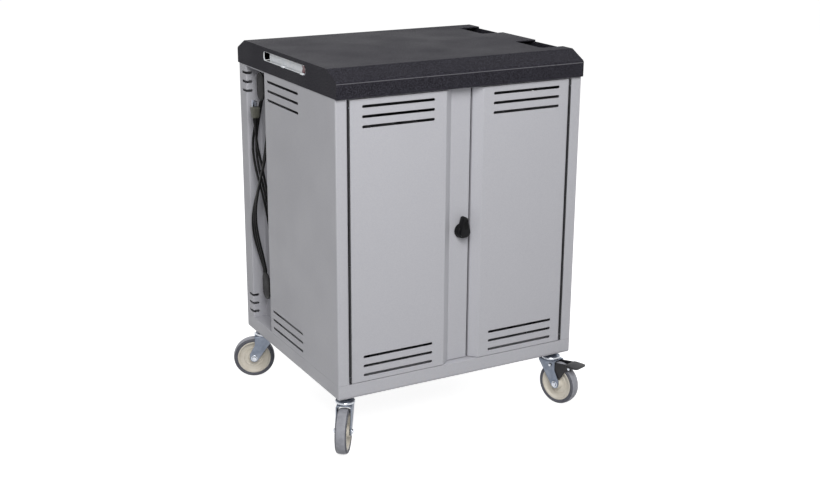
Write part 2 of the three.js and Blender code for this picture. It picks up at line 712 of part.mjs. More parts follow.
function rack(shelfTop) {
  const z0 = shelfTop + TOUCH;
  const z1 = z0 + SHEET + DIVIDER_HEIGHT;
  const y1 = RACK_Y + RACK_DEPTH;
  const fin = new THREE.Shape([point(y1, z0), point(y1, z1)]);
  fin.absarc(RACK_Y + DIVIDER_ROUND, z1 - DIVIDER_ROUND, DIVIDER_ROUND, Math.PI / 2, Math.PI);
  fin.lineTo(RACK_Y, z0);
  const parts = [block(-RACK_HALF, RACK_HALF, RACK_Y, y1, z0, z0 + SHEET)];
  for (let i = 0; i <= BAYS; i += 1) {
    const x = -RACK_HALF + i * BAY_PITCH;
    parts.push(alongX(fin, x, x + DIVIDER, SLOT_STEPS));
  }
  return join(parts);
}

piece('lower_shelf', shelf(LOWER_SHELF_Z, SHELF_EDGE), innerSteel);
piece('upper_shelf', shelf(UPPER_SHELF_Z, -SHELF_EDGE), innerSteel);
piece('cable_panel', cablePanel(), innerSteel);
piece('lower_divider_rack', rack(LOWER_SHELF_Z + SHEET), innerSteel);
piece('upper_divider_rack', rack(UPPER_SHELF_Z), innerSteel);

// Outlet strips on the back of the cable panel
function outletStrip(z) {
  const y0 = CABLE_Y + SHEET + TOUCH;
  const y1 = y0 + OUTLET_DEEP;
  const section = roundedRectangle(y0, y1, z, z + OUTLET_HIGH, FOLD);
  const housing = alongX(section, -OUTLET_LENGTH / 2, OUTLET_LENGTH / 2);
  const pitch = OUTLET_LENGTH / OUTLETS;
  const middle = z + OUTLET_HIGH / 2;
  const sockets = [];
  for (let i = 0; i < OUTLETS; i += 1) {
    const x = -OUTLET_LENGTH / 2 + pitch * (i + 0.5);
    const mouth = [x - SOCKET / 2, x + SOCKET / 2, middle - SOCKET / 2, middle + SOCKET / 2];
    sockets.push(alongY(rectangle(...mouth), y1 - SOCKET_DEEP, y1 + OVERCUT));
  }
  return cut(housing, sockets);
}

piece('lower_outlet_strip', outletStrip(LOWER_SHELF_Z + OUTLET_UP), whiteShell);
piece('upper_outlet_strip', outletStrip(UPPER_SHELF_Z + OUTLET_UP), whiteShell);

// Doors: folded pans, closed at the ends, whose free edges form a recessed channel
const CHANNEL_STRIP = CHANNEL_LEFT + LEFT_SLOPE; // where the recessed strip starts
const LEFT_FREE = DOOR_SEAM - CENTRE_GAP / 2;
const RIGHT_FREE = DOOR_SEAM + CENTRE_GAP / 2;

function doorPan(section, cap) {
  const body = alongZ(section, DOOR_Z, DOOR_TOP);
  const low = alongZ(cap, DOOR_Z, DOOR_Z + SHEET);
  const high = alongZ(cap, DOOR_TOP - SHEET, DOOR_TOP);
  return join([body, low, high]);
}

const CAP_INSET = 0.7 * SHEET; // end caps stay behind the rounded folds
const CAP_BACK = FRONT + DOOR_RETURN;

function leftDoor() {
  const section = sheet([
    point(-DOOR_EDGE, CAP_BACK),
    point(-DOOR_EDGE, FRONT),
    point(CHANNEL_LEFT, FRONT),
    point(CHANNEL_STRIP, STRIP_FRONT),
    point(LEFT_FREE, STRIP_FRONT),
    point(LEFT_FREE, STRIP_FRONT + EDGE_RETURN),
  ]);
  const slope = (CHANNEL_STRIP - CHANNEL_LEFT) / CHANNEL_DEPTH;
  const cap = outline([
    point(-DOOR_EDGE + CAP_INSET, FRONT + CAP_INSET),
    point(CHANNEL_LEFT, FRONT + CAP_INSET),
    point(CHANNEL_LEFT + slope * (DOOR_RETURN - CAP_INSET), CAP_BACK),
    point(-DOOR_EDGE + CAP_INSET, CAP_BACK),
  ]);
  const middle = (-DOOR_EDGE + CHANNEL_LEFT) / 2;
  const vents = ventGroup(middle, FRONT - SHEET, FRONT + 2 * SHEET);
  const hole = rodY(HANDLE_X, HANDLE_Z, SPINDLE_HOLE, STRIP_FRONT - SHEET, STRIP_BACK + SHEET);
  return cut(doorPan(section, cap), [...vents, hole]);
}

function rightDoor() {
  const face = RIGHT_FREE + RIGHT_SLOPE;
  const section = sheet([
    point(RIGHT_FREE, STRIP_FRONT + EDGE_RETURN),
    point(RIGHT_FREE, STRIP_FRONT),
    point(face, FRONT),
    point(DOOR_EDGE, FRONT),
    point(DOOR_EDGE, CAP_BACK),
  ]);
  const slope = RIGHT_SLOPE / CHANNEL_DEPTH;
  const cap = outline([
    point(face, FRONT + CAP_INSET),
    point(DOOR_EDGE - CAP_INSET, FRONT + CAP_INSET),
    point(DOOR_EDGE - CAP_INSET, CAP_BACK),
    point(face - slope * (DOOR_RETURN - CAP_INSET), CAP_BACK),
  ]);
  const middle = (face + DOOR_EDGE) / 2;
  const vents = ventGroup(middle, FRONT - SHEET, FRONT + 2 * SHEET);
  return cut(doorPan(section, cap), vents);
}

piece('left_door', leftDoor(), silverPaint);
piece('right_door', rightDoor(), silverPaint);

// Piano hinges in the gaps beside the doors
function hinge(name, side) {
  const axis = side * HINGE_X;
  const stile = side * (BODY_WIDTH / 2 - STILE - TOUCH);
  const edge = side * (DOOR_EDGE + TOUCH);
  const z0 = DOOR_Z + HINGE_INSET;
  const z1 = DOOR_TOP - HINGE_INSET;
  const leafFront = FRONT + KNUCKLE + 2 * TOUCH;
  const pitch = (z1 - z0) / KNUCKLES;
  const frameLeaf = [block(stile, stile - side * LEAF, leafFront, leafFront + LEAF_DEPTH, z0, z1)];
  const doorLeaf = [block(edge, edge + side * LEAF, leafFront, leafFront + LEAF_DEPTH, z0, z1)];
  const wall = PIN + PIN_FIT;
  for (let i = 0; i < KNUCKLES; i += 1) {
    const low = z0 + i * pitch + TOUCH;
    const high = z0 + (i + 1) * pitch - TOUCH;
    const onFrame = i % 2 === 0;
    const leaf = onFrame ? frameLeaf : doorLeaf;
    const outer = onFrame ? stile : edge;
    const inner = onFrame ? axis + side * wall : axis - side * wall;
    const tab = block(outer, inner, FRONT, leafFront + LEAF, low, high);
    leaf.push(rodZ(axis, FRONT, KNUCKLE, low, high, KNUCKLE_SIDES).add(tab));
  }
  const bore = rodZ(axis, FRONT, wall, z0 - OVERCUT, z1 + OVERCUT, KNUCKLE_SIDES);
  piece(`${name}_hinge_frame_leaf`, join(frameLeaf).subtract(bore), blackSteel);
  piece(`${name}_hinge_door_leaf`, join(doorLeaf).subtract(bore), blackSteel);
  piece(`${name}_hinge_pin`, rodZ(axis, FRONT, PIN, z0 - LEAF, z1 + LEAF, KNUCKLE_SIDES), zinc);
}

hinge('left', -1);
hinge('right', 1);

// Handle: round plate on the door, wing knob with its spindle, and the cam behind the strip
function handlePlate() {
  const y1 = STRIP_FRONT - TOUCH;
  const y0 = y1 - PLATE_THICK;
  const ring = rodY(HANDLE_X, HANDLE_Z, PLATE, y0, y1, HUB_SIDES);
  return ring.subtract(rodY(HANDLE_X, HANDLE_Z, SPINDLE_HOLE, y0 - OVERCUT, y1 + OVERCUT));
}

function handleKnob() {
  const back = STRIP_FRONT - 2 * TOUCH - PLATE_THICK;
  const face = back - KNOB_DEEP;
  const profile = new THREE.Path();
  profile.moveTo(0, face);
  profile.lineTo(KNOB - KNOB_ROUND, face);
  profile.absarc(KNOB - KNOB_ROUND, face + KNOB_ROUND, KNOB_ROUND, -Math.PI / 2, 0);
  profile.lineTo(KNOB, back);
  profile.lineTo(0, back);
  const dome = new THREE.LatheGeometry(profile.getPoints(ARC_STEPS), HUB_SIDES);
  const rise = WING_UP - WING_TIP;
  const lean = Math.asin((WING_HEEL - WING_TIP) / rise);
  const wing = new THREE.Shape();
  wing.absarc(HANDLE_X, HANDLE_Z + rise, WING_TIP, lean, Math.PI - lean);
  wing.absarc(HANDLE_X, HANDLE_Z, WING_HEEL, Math.PI - lean, 2 * Math.PI + lean);
  const grip = alongY(wing, face - WING_STAND, back - WING_FOOT, 2 * SLOT_STEPS);
  const spindle = rodY(HANDLE_X, HANDLE_Z, SPINDLE, back - OVERCUT, STRIP_BACK + CAM_THICK);
  return join([solid(dome.translate(HANDLE_X, 0, HANDLE_Z)), grip, spindle]);
}

function latchCam() {
  const y0 = STRIP_BACK + TOUCH;
  const y1 = y0 + CAM_THICK;
  const arms = [-1, 1].map((side) => {
    const x = HANDLE_X + side * ROD_SIDE;
    const z = HANDLE_Z - side * ROD_SIDE;
    const pin = rodY(x, z, CAM_PIN, y0, ROD_Y + ROD_PLATE_THICK / 2 + TOUCH, KNUCKLE_SIDES);
    return rodY(x, z, CAM_EAR, y0, y1, KNUCKLE_SIDES).add(pin);
  });
  const plate = rodY(HANDLE_X, HANDLE_Z, CAM_ARM, y0, y1);
  const hole = rodY(HANDLE_X, HANDLE_Z, SPINDLE_HOLE, y0 - OVERCUT, y1 + OVERCUT);
  return join([plate, ...arms]).subtract(hole);
}

piece('handle_plate', handlePlate(), blackPlastic);
piece('handle_knob', handleKnob(), blackPlastic);
piece('latch_cam', latchCam(), zinc);

// Lock rods, withdrawn: up into the header and down into the base lip for a quarter turn
const UPPER_ROD_END = PANEL_TOP - RAIL_DROP - ROD_CLEAR;
const LOWER_ROD_END = BAND_TOP + ROD_CLEAR;

function lockRod(side, end) {
  const x = HANDLE_X + side * ROD_SIDE;
  const z = HANDLE_Z - side * ROD_SIDE;
  const half = ROD_PLATE / 2;
  const play = CAM_PIN + CAM_FIT;
  const far = side * (CAM_ARM - ROD_SIDE);
  const reach = [Math.min(0, far) - play, Math.max(0, far) + play];
  const foot = roundedRectangle(x - half, x + half, z - half, z + half, FOLD);
  foot.holes.push(roundedRectangle(x + reach[0], x + reach[1], z - play, z + play, CAM_FIT));
  const y0 = ROD_Y - ROD_PLATE_THICK / 2;
  const plate = alongY(foot, y0, y0 + ROD_PLATE_THICK, 1);
  const start = z + side * (half - FOLD / 2);
  return plate.add(rodZ(x, ROD_Y, ROD, Math.min(start, end), Math.max(start, end), KNUCKLE_SIDES + 2));
}

function rodGuide(side, z) {
  const x = HANDLE_X + side * ROD_SIDE;
  const y0 = STRIP_BACK + TOUCH;
  const y1 = ROD_Y + ROD + ROD_FIT;
  const half = ROD + ROD_FIT;
  const section = sheet([
    point(x - half - GUIDE_FOOT, y0),
    point(x - half, y0),
    point(x - half, y1),
    point(x + half, y1),
    point(x + half, y0),
    point(x + half + GUIDE_FOOT, y0),
  ], SHEET / 2, SHEET / 2);
  return alongZ(section, z - GUIDE_HEIGHT / 2, z + GUIDE_HEIGHT / 2);
}

piece('upper_lock_rod', lockRod(1, UPPER_ROD_END), zinc);
piece('lower_lock_rod', lockRod(-1, LOWER_ROD_END), zinc);
piece('upper_rod_guide', rodGuide(1, UPPER_ROD_END - GUIDE_INSET), zinc);
piece('lower_rod_guide', rodGuide(-1, LOWER_ROD_END + GUIDE_INSET), zinc);

// Cord bay: two cleats, the gland under the deck, the wound cord and its plug
function cleat(z) {
  const post = rodX(BAY_MIDDLE, z, CLEAT_POST, CLEAT_X, BAY_WALL - TOUCH);
  const oval = uprightSlot(BAY_MIDDLE, z - CLEAT_HIGH / 2, z + CLEAT_HIGH / 2, CLEAT_WIDE);
  const flange = alongX(oval, CLEAT_X - CLEAT_FLANGE, CLEAT_X, 2 * SLOT_STEPS);
  return post.add(flange);
}

function gland() {
  const top = DECK_Z - TOUCH;
  const low = top - GLAND_NUT - GLAND_TAIL;
  return turnedZ([
    point(0, low),
    point(GLAND_TIP, low),
    point(GLAND_ROOT, top - GLAND_NUT),
    point(GLAND, top - GLAND_NUT),
    point(GLAND, top),
    point(0, top),
  ], LEAD_X, LEAD_Y);
}

// Outer face of the wound cord at a height: flat behind the cleats, standing out between them
const WOUND_TOP = UPPER_CLEAT_Z - CLEAT_HIGH / 2;
const WOUND_LOW = LOWER_CLEAT_Z + CLEAT_HIGH / 2;

function hankFace(z) {
  const share = THREE.MathUtils.clamp((WOUND_TOP - z) / (WOUND_TOP - WOUND_LOW), 0, 1);
  return CLEAT_X + TOUCH - HANK_OUT * Math.sin(Math.PI * share) ** 2;
}

const HANK_ROUND = CLEAT_POST + 2 * CORD + 2 * CORD_PITCH + TOUCH; // outermost turn on a cleat

function hank() {
  const middle = (UPPER_CLEAT_Z + LOWER_CLEAT_Z) / 2;
  const quarter = (UPPER_CLEAT_Z - LOWER_CLEAT_Z) / 4;
  const flank = (side) => [
    point(BAY_MIDDLE + side * HANK_BULGE, middle + quarter),
    point(BAY_MIDDLE + side * HANK_WAIST, middle),
    point(BAY_MIDDLE + side * HANK_BULGE, middle - quarter),
  ];
  const shape = new THREE.Shape();
  shape.absarc(BAY_MIDDLE, UPPER_CLEAT_Z, HANK_ROUND, 0, Math.PI);
  shape.splineThru([...flank(-1), point(BAY_MIDDLE - HANK_ROUND, LOWER_CLEAT_Z)]);
  shape.absarc(BAY_MIDDLE, LOWER_CLEAT_Z, HANK_ROUND, Math.PI, 2 * Math.PI);
  shape.splineThru([...flank(1).reverse(), point(BAY_MIDDLE + HANK_ROUND, UPPER_CLEAT_Z)]);
  const back = BAY_WALL - 2 * TOUCH;
  const loops = alongX(shape, back - BAY_DEPTH - HANK_OUT, back, SLOT_STEPS);
  const top = UPPER_CLEAT_Z + 2 * HANK_ROUND;
  const low = LOWER_CLEAT_Z - 2 * HANK_ROUND;
  const profile = [point(back, low), point(back, top), point(hankFace(top), top)];
  for (let i = 0; i <= HANK_STEPS; i += 1) {
    const z = THREE.MathUtils.lerp(WOUND_TOP, WOUND_LOW, i / HANK_STEPS);
    profile.push(point(hankFace(z), z));
  }
  profile.push(point(hankFace(low), low));
  const swell = alongY(outline(profile), BAY_FRONT, BAY_REAR);
  const reach = [BAY_WALL - BAY_DEPTH, BAY_WALL + OVERCUT];
  const cleats = [UPPER_CLEAT_Z, LOWER_CLEAT_Z];
  const posts = cleats.map((z) => rodX(BAY_MIDDLE, z, CLEAT_POST + TOUCH, ...reach));
  return cut(loops.intersect(swell), posts);
}

// Straight lead from the gland to the hank's shoulder
const LEAD_TOP = DECK_Z - 2 * TOUCH - GLAND_NUT - GLAND_TAIL;

function lead(hankBody) {
  const path = new THREE.LineCurve3(
    new THREE.Vector3(LEAD_X, LEAD_Y, LEAD_TOP),
    new THREE.Vector3(LEAD_X, LEAD_Y, UPPER_CLEAT_Z - HANK_ROUND),
  );
  const ring = new THREE.Shape();
  ring.absarc(0, 0, CORD, 0, 2 * Math.PI);
  const tube = new THREE.ExtrudeGeometry(ring, { steps: 1, extrudePath: path, curveSegments: 5 });
  return solid(tube).subtract(hankBody);
}

function plug() {
  const z0 = WOUND_TOP - PLUG_DROP;
  const z1 = z0 + PLUG_BODY;
  const x1 = hankFace(z0) - TOUCH;
  const x0 = x1 - PLUG_DEEP;
  const x = (x0 + x1) / 2;
  const y = BAY_MIDDLE + PLUG_OFFSET;
  const body = alongZ(roundedRectangle(x0, x1, y - PLUG_WIDE / 2, y + PLUG_WIDE / 2, FOLD), z0, z1);
  const neck = turnedZ([
    point(0, z0 - PLUG_NECK),
    point(PLUG_NECK_TIP, z0 - PLUG_NECK),
    point(PLUG_NECK_ROOT, z0),
    point(PLUG_NECK_ROOT, z0 + OVERCUT),
    point(0, z0 + OVERCUT),
  ], x, y, KNUCKLE_SIDES);
  const foot = z1 - OVERCUT;
  const blades = [-1, 1].map((side) => {
    const inner = y + (side * (BLADE_SPREAD - BLADE_THICK)) / 2;
    const outer = y + (side * (BLADE_SPREAD + BLADE_THICK)) / 2;
    return block(x - BLADE_WIDE / 2, x + BLADE_WIDE / 2, inner, outer, foot, z1 + BLADE);
  });
  const earth = rodZ(x - EARTH_SIDE, y, EARTH, foot, z1 + BLADE + EARTH_OVER, KNUCKLE_SIDES);
  return join([body, neck, ...blades, earth]);
}

const hankBody = hank();
piece('upper_cord_cleat', cleat(UPPER_CLEAT_Z), blackPlastic);
piece('lower_cord_cleat', cleat(LOWER_CLEAT_Z), blackPlastic);
piece('cord_gland', gland(), blackPlastic);
cordPieces.push(piece('cord_hank', hankBody, blackRubber));
cordPieces.push(piece('cord_lead', lead(hankBody), blackRubber));
cordPieces.push(piece('cord_plug', plug(), blackRubber));

// Casters, each drawn with its swivel axis upright at the origin and trailing towards +X
function stem() {
  const rivetTop = CROWN_Z - TOUCH;
  const nutLow = BASE_Z - TOUCH - STEM_NUT_HIGH;
  const inside = BASE_Z + SHEET + TOUCH;
  return turnedZ([
    point(0, rivetTop - STEM_NUT_HIGH),
    point(RIVET - RIVET_ROUND, rivetTop - STEM_NUT_HIGH),
    point(RIVET, rivetTop - STEM_NUT_HIGH + RIVET_ROUND),
    point(RIVET, rivetTop),
    point(STEM, rivetTop),
    point(STEM, nutLow),
    point(STEM_NUT, nutLow),
    point(STEM_NUT, BASE_Z - TOUCH),
    point(STEM, BASE_Z - TOUCH),
    point(STEM, inside),
    point(STEM_NUT, inside),
    point(STEM_NUT, inside + 2 * STEM_NUT_HIGH),
    point(0, inside + 2 * STEM_NUT_HIGH),
  ], 0, 0, STEM_SIDES);
}

const PIVOT_Z = CROWN_Z - PEDAL_PIVOT_DROP;

function fork(braked) {
  const top = CROWN_Z + FORK_SHEET;
  const section = sheet([
    point(FORK_OUT, WHEEL - FORK_BOSS),
    point(FORK_OUT, top),
    point(-FORK_OUT, top),
    point(-FORK_OUT, WHEEL - FORK_BOSS),
  ], FORK_SHEET, 2 * FORK_SHEET);
  const channel = alongX(section, -FORK_FRONT, TRAIL + FORK_REAR);
  const side = new THREE.Shape([point(FORK_REAR, top + OVERCUT), point(-FORK_FRONT, top + OVERCUT)]);
  side.lineTo(-FORK_FRONT, CROWN_Z - 2 * FORK_SHEET);
  side.absarc(TRAIL, WHEEL, FORK_BOSS, 1.2 * Math.PI, 2 * Math.PI);
  side.lineTo(TRAIL + FORK_BOSS, WHEEL + FORK_BOSS);
  side.lineTo(FORK_REAR, CROWN_Z - 2 * FORK_BOSS);
  const legs = channel.intersect(alongY(side, -2 * FORK_OUT, 2 * FORK_OUT, SLOT_STEPS));
  const race = turnedZ([
    point(0, CROWN_Z + OVERCUT),
    point(RACE, CROWN_Z + OVERCUT),
    point(RACE, top + RACE_EDGE),
    point(RACE_TOP, top + RACE_HIGH),
    point(0, top + RACE_HIGH),
  ], 0, 0);
  const bores = [
    rodZ(0, 0, STEM + STEM_FIT, CROWN_Z - OVERCUT, top + RACE_HIGH + OVERCUT, STEM_SIDES),
    rodY(TRAIL, WHEEL, AXLE + TOUCH, -2 * FORK_OUT, 2 * FORK_OUT, KNUCKLE_SIDES),
  ];
  if (braked) {
    bores.push(rodY(PEDAL_PIVOT_X, PIVOT_Z, RIVET_PIN + TOUCH, -2 * FORK_OUT, 2 * FORK_OUT, KNUCKLE_SIDES));
  }
  return cut(legs.add(race), bores);
}

function axle() {
  const seat = FORK_OUT + TOUCH;
  const shank = rodY(TRAIL, WHEEL, AXLE, -seat - OVERCUT, seat + OVERCUT, KNUCKLE_SIDES);
  const heads = [-1, 1].map((side) => {
    const ends = [side * seat, side * (seat + AXLE_HEAD_HIGH)].sort((a, b) => a - b);
    return rodY(TRAIL, WHEEL, AXLE_HEAD, ...ends, HEX_SIDES);
  });
  return join([shank, ...heads]);
}

// A wheel's flats are at its radius, one of them facing down
function wheelRing(profile, sides) {
  const grow = 1 / Math.cos(Math.PI / sides);
  const points = profile.map((p) => point(p.x * grow, p.y));
  const lathe = new THREE.LatheGeometry([...points, points[0]], sides, Math.PI / sides);
  return solid(lathe.translate(TRAIL, 0, WHEEL));
}

// Section of a ring given by its right half, mirrored to the left
function mirrored(right) {
  const left = right.map((p) => point(p.x, -p.y));
  return [...right, ...left.reverse()].reverse();
}

function hub() {
  const seat = WHEEL - TREAD_DEEP;
  const inner = seat - RIM;
  return wheelRing(mirrored([
    point(seat, RIM_WIDTH / 2),
    point(inner, RIM_WIDTH / 2),
    point(inner - RIM_CONE, HUB_DISH),
    point(HUB_BOSS + HUB_CONE, HUB_DISH),
    point(HUB_BOSS, HUB_WIDTH / 2),
    point(AXLE + AXLE_FIT, HUB_WIDTH / 2),
  ]).reverse(), HUB_SIDES);
}

function tyre() {
  const seat = (WHEEL - TREAD_DEEP) / Math.cos(Math.PI / HUB_SIDES) + TOUCH;
  return wheelRing(mirrored([
    point(seat, RIM_WIDTH / 2),
    point(WHEEL - TREAD_SHOULDER, TREAD / 2),
    point(WHEEL - TREAD_DROP, TREAD_CROWN / 2),
    point(WHEEL, TREAD_FLAT / 2),
  ]), WHEEL_SIDES);
}

// Brake pedal: two cheeks inside the legs on their rivets, a tread plate and a shoe over the tyre
function brakePedal() {
  const outer = FORK_GAP / 2 - TOUCH;
  const inner = outer - PEDAL_SHEET;
  const treadZ = CROWN_Z + PEDAL_RISE;
  const start = PEDAL_REACH - PEDAL_LONG;
  const shoeEnd = SHOE_X + SHOE_LONG;
  const shoeLow = treadZ - SHOE_LOW;
  const cheek = new THREE.Shape();
  cheek.absarc(PEDAL_PIVOT_X, PIVOT_Z, PEDAL_EYE, 0.5 * Math.PI, 1.2 * Math.PI);
  cheek.absarc(TRAIL, WHEEL, PEDAL_APRON, 0.45 * Math.PI, 0.28 * Math.PI, true);
  cheek.lineTo(start, shoeLow - SHOE_LOW / 2);
  cheek.lineTo(shoeEnd, shoeLow);
  cheek.lineTo(PEDAL_REACH - PEDAL_LONG / 2, treadZ - PEDAL_THICK);
  cheek.lineTo(PEDAL_REACH - PEDAL_LONG / 2, treadZ);
  cheek.lineTo(start, treadZ);
  const cheeks = [alongY(cheek, inner, outer), alongY(cheek, -outer, -inner)];
  const plan = roundedRectangle(start, PEDAL_REACH, -PEDAL_WIDE / 2, PEDAL_WIDE / 2, FOLD * 2);
  const tread = alongZ(plan, treadZ - PEDAL_THICK, treadZ);
  const shoe = roundedRectangle(SHOE_X, shoeEnd, shoeLow, treadZ - PEDAL_THICK + OVERCUT, SHOE_ROUND);
  const head = FORK_OUT + TOUCH;
  const rivets = [-1, 1].flatMap((side) => {
    const pin = [side * inner, side * (head + OVERCUT)].sort((a, b) => a - b);
    const cap = [side * head, side * (head + RIVET_HEAD_HIGH)].sort((a, b) => a - b);
    return [
      rodY(PEDAL_PIVOT_X, PIVOT_Z, RIVET_PIN, ...pin, KNUCKLE_SIDES),
      rodY(PEDAL_PIVOT_X, PIVOT_Z, RIVET_HEAD, ...cap, KNUCKLE_SIDES),
    ];
  });
  return join([...cheeks, tread, alongY(shoe, -outer, outer), ...rivets]);
}

function caster(name, side, end, heading, braked) {
  const group = new THREE.Group();
  group.position.set(side * (RIGHT - CASTER_INSET), end * (REAR - CASTER_INSET), 0);
  group.rotation.z = THREE.MathUtils.degToRad(heading);
  cart.add(group);
  piece(`${name}_stem`, stem(), zinc, group);
  piece(`${name}_fork`, fork(braked), zinc, group);
  piece(`${name}_axle`, axle(), zinc, group);
  piece(`${name}_hub`, hub(), creamPlastic, group);
  piece(`${name}_tyre`, tyre(), greyRubber, group);
  if (braked) {
    piece(`${name}_brake_pedal`, brakePedal(), blackSteel, group);
  }
}

// Headings in which the casters stand, in degrees from +X
caster('front_left', -1, -1, -125, false);
caster('front_right', 1, -1, -72, true);
caster('rear_left', -1, 1, 158, false);
caster('rear_right', 1, 1, 22, true);

// Origin on the floor, in the middle of the cart without its cord
cart.updateMatrixWorld(true);
const extent = new THREE.Box3();
cart.traverse((node) => {
  if (node.isMesh && !cordPieces.includes(node)) {
    extent.expandByObject(node, true);
  }
});
const centre = extent.getCenter(new THREE.Vector3());
cart.position.set(-centre.x, -centre.y, -extent.min.z);
cart.updateMatrixWorld(true);

export default cart;
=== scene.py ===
"""Laptop charging cart: the looks of a steel cabinet on casters. Metres, +Z up, doors towards -Y."""
import json
import math

import bmesh
import bpy
from mathutils import Matrix, Quaternion, Vector

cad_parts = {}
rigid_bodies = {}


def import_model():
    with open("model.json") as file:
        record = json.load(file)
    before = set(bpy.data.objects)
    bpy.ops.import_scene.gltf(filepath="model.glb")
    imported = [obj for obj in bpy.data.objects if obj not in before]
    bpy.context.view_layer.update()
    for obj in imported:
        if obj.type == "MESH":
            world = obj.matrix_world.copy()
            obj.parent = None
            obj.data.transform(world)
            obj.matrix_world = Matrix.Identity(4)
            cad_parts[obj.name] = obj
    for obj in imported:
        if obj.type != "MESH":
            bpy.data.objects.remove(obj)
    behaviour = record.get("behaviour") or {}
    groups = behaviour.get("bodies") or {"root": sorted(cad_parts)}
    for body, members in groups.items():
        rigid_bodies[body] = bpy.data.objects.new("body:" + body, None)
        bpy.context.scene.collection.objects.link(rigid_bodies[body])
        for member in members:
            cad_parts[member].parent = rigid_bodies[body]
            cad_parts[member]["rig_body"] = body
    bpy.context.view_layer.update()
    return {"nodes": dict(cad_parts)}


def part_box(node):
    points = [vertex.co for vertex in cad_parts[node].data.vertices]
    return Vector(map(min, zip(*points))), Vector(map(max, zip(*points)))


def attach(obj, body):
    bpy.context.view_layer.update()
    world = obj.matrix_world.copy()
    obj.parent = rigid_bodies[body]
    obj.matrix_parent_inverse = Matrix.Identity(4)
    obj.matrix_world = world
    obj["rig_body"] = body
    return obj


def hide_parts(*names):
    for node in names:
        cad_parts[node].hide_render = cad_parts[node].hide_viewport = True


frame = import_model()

MM = 0.001

# Fineness of the meshes, angles in degrees
SAME_PLACE = 0.001 * MM  # corners nearer than this are one
FLAT = 0.5  # facets that meet at less are one face
SMOOTH = 40  # faces that meet at less are shaded as one
PLUG_SMOOTH = 35
SPIN_STEPS = 72
ARC_STEPS = 24
ROD_SIDES = 24

# The cabinet's places, from the frame
DECK_LOW, DECK_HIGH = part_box("top_deck")
MIDDLE = Vector(((DECK_LOW.x + DECK_HIGH.x) / 2, (DECK_LOW.y + DECK_HIGH.y) / 2, 0))
TOUCH = 0.3 * MM  # gap between pieces that rest on each other

# Camera, from the floor under the cabinet's middle
IMAGE_WIDTH = 820
FOCAL_PIXELS = 1271
SENSOR = 36
CAMERA_PLACE = Vector((-1.7343, -3.1741, 1.5944))
CAMERA_AZIMUTH = math.radians(-28.89)
CAMERA_ELEVATION = math.radians(17.24)
CAMERA_ROLL = math.radians(0.32)

# Vents: three rows of slots at the foot and three at the head of a panel or door
VENTED = ("left_side_panel", "right_side_panel", "back_panel", "left_door", "right_door")
VENT_LOWEST = 221 * MM
VENT_HIGHEST = 960 * MM
VENT_PITCH = 26.4 * MM
VENT_COUNT = 3
VENT_HALF = 2.8 * MM  # half the height of a slot in the solids
VENT_OPEN = 1.35  # height of the slots as shown, over their height in the solids

# Cord
CORD = 3.5 * MM  # radius
PITCH = 7.5 * MM  # from one turn to the next
INNER_TURN = 21 * MM
BAY_WALL = -335 * MM
BAY_MIDDLE = 206.5 * MM
LAYER_OUT = BAY_WALL - TOUCH - CORD - 2 * PITCH
LAYER_IN = LAYER_OUT + PITCH
UPPER_CLEAT = 930 * MM
LOWER_CLEAT = 323 * MM
FLANGE_HALF = 42 * MM
TURNS = 3
LOOP_BULGE = 27 * MM
LOOP_OUT = 27 * MM
FAN_SIDE = 0.25  # share by which each loop is narrower than the one outside it
FAN_OUT = 0.15  # share by which each run stands out less than the one before it
UP_OUT = 0.55  # share of the outermost run by which the runs going up stand out
LEAN = 0.48  # by which the loops on the rear side come forward out of the bay
LEAN_ROUND = 20 * MM
LEAVES_AT = 0.6  # share of the last run where it leaves the others for the plug
STRAND_STEPS = 60

# Window of the power strip, from the deck's front and the lid's lower edge to its corner
WINDOW_BACK = 178 * MM
WINDOW_UP = 33 * MM

# Plug
PLUG_LOW, PLUG_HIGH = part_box("cord_plug")
PLUG_AXIS = Vector(((PLUG_LOW.x + PLUG_HIGH.x) / 2, (PLUG_LOW.y + PLUG_HIGH.y) / 2, 0)) - MIDDLE
PLUG_NECK = 24 * MM
PLUG_LONG = 34 * MM
NECK_RIBS = 5

# Casters
TRAIL = 33 * MM
WHEEL = 63.5 * MM
CASTERS = ("front_left", "front_right", "rear_left", "rear_right")
BRAKED = ("front_right", "rear_right")
TREAD_STEPS = 14
TYRE_HALF = 16 * MM
TYRE_ROUND = 7 * MM  # by which the tread falls off at its sides
TYRE_FULL = 0.35  # the lower, the flatter the tread
FORK_SIDE = 22 * MM  # from a caster's middle to the outer face of its fork
CROWN = 136.5 * MM  # upper face of a fork

# Heads of the rivets on a brake: along its caster, up from the floor and out to the side
PIVOT_RIVET = (14 * MM, 121 * MM, 24.1 * MM)
ARM_RIVET = (79 * MM, 124 * MM, 18.5 * MM)

# Floor and light
WHITE = (1, 1, 1, 1)
FLOOR_HALF = 60
FLOOR_SHADE = (0.5, 0.5, 0.5, 1)
FLOOR_GLOW = 0.88  # lights nothing: only makes the floor that is seen meet the white background
SKY_LIGHT = 0.28
LAMP_SIZE = 2.0
LAMP_AIM = Vector((0, 0, 0.6))


def camera():
    data = bpy.data.cameras.new("photo_camera")
    data.sensor_width = SENSOR
    data.lens = SENSOR * FOCAL_PIXELS / IMAGE_WIDTH
    data.clip_end = 100
    shot = bpy.data.objects.new("photo_camera", data)
    bpy.context.scene.collection.objects.link(shot)
    flat = math.cos(CAMERA_ELEVATION)
    back = Vector((
        math.sin(CAMERA_AZIMUTH) * flat,
        -math.cos(CAMERA_AZIMUTH) * flat,
        math.sin(CAMERA_ELEVATION),
    ))
    shot.location = MIDDLE + CAMERA_PLACE
    shot.rotation_mode = "QUATERNION"
    shot.rotation_quaternion = (-back).to_track_quat("-Z", "Y") @ Quaternion((0, 0, 1), CAMERA_ROLL)
    bpy.context.scene.camera = shot


camera()


# Materials

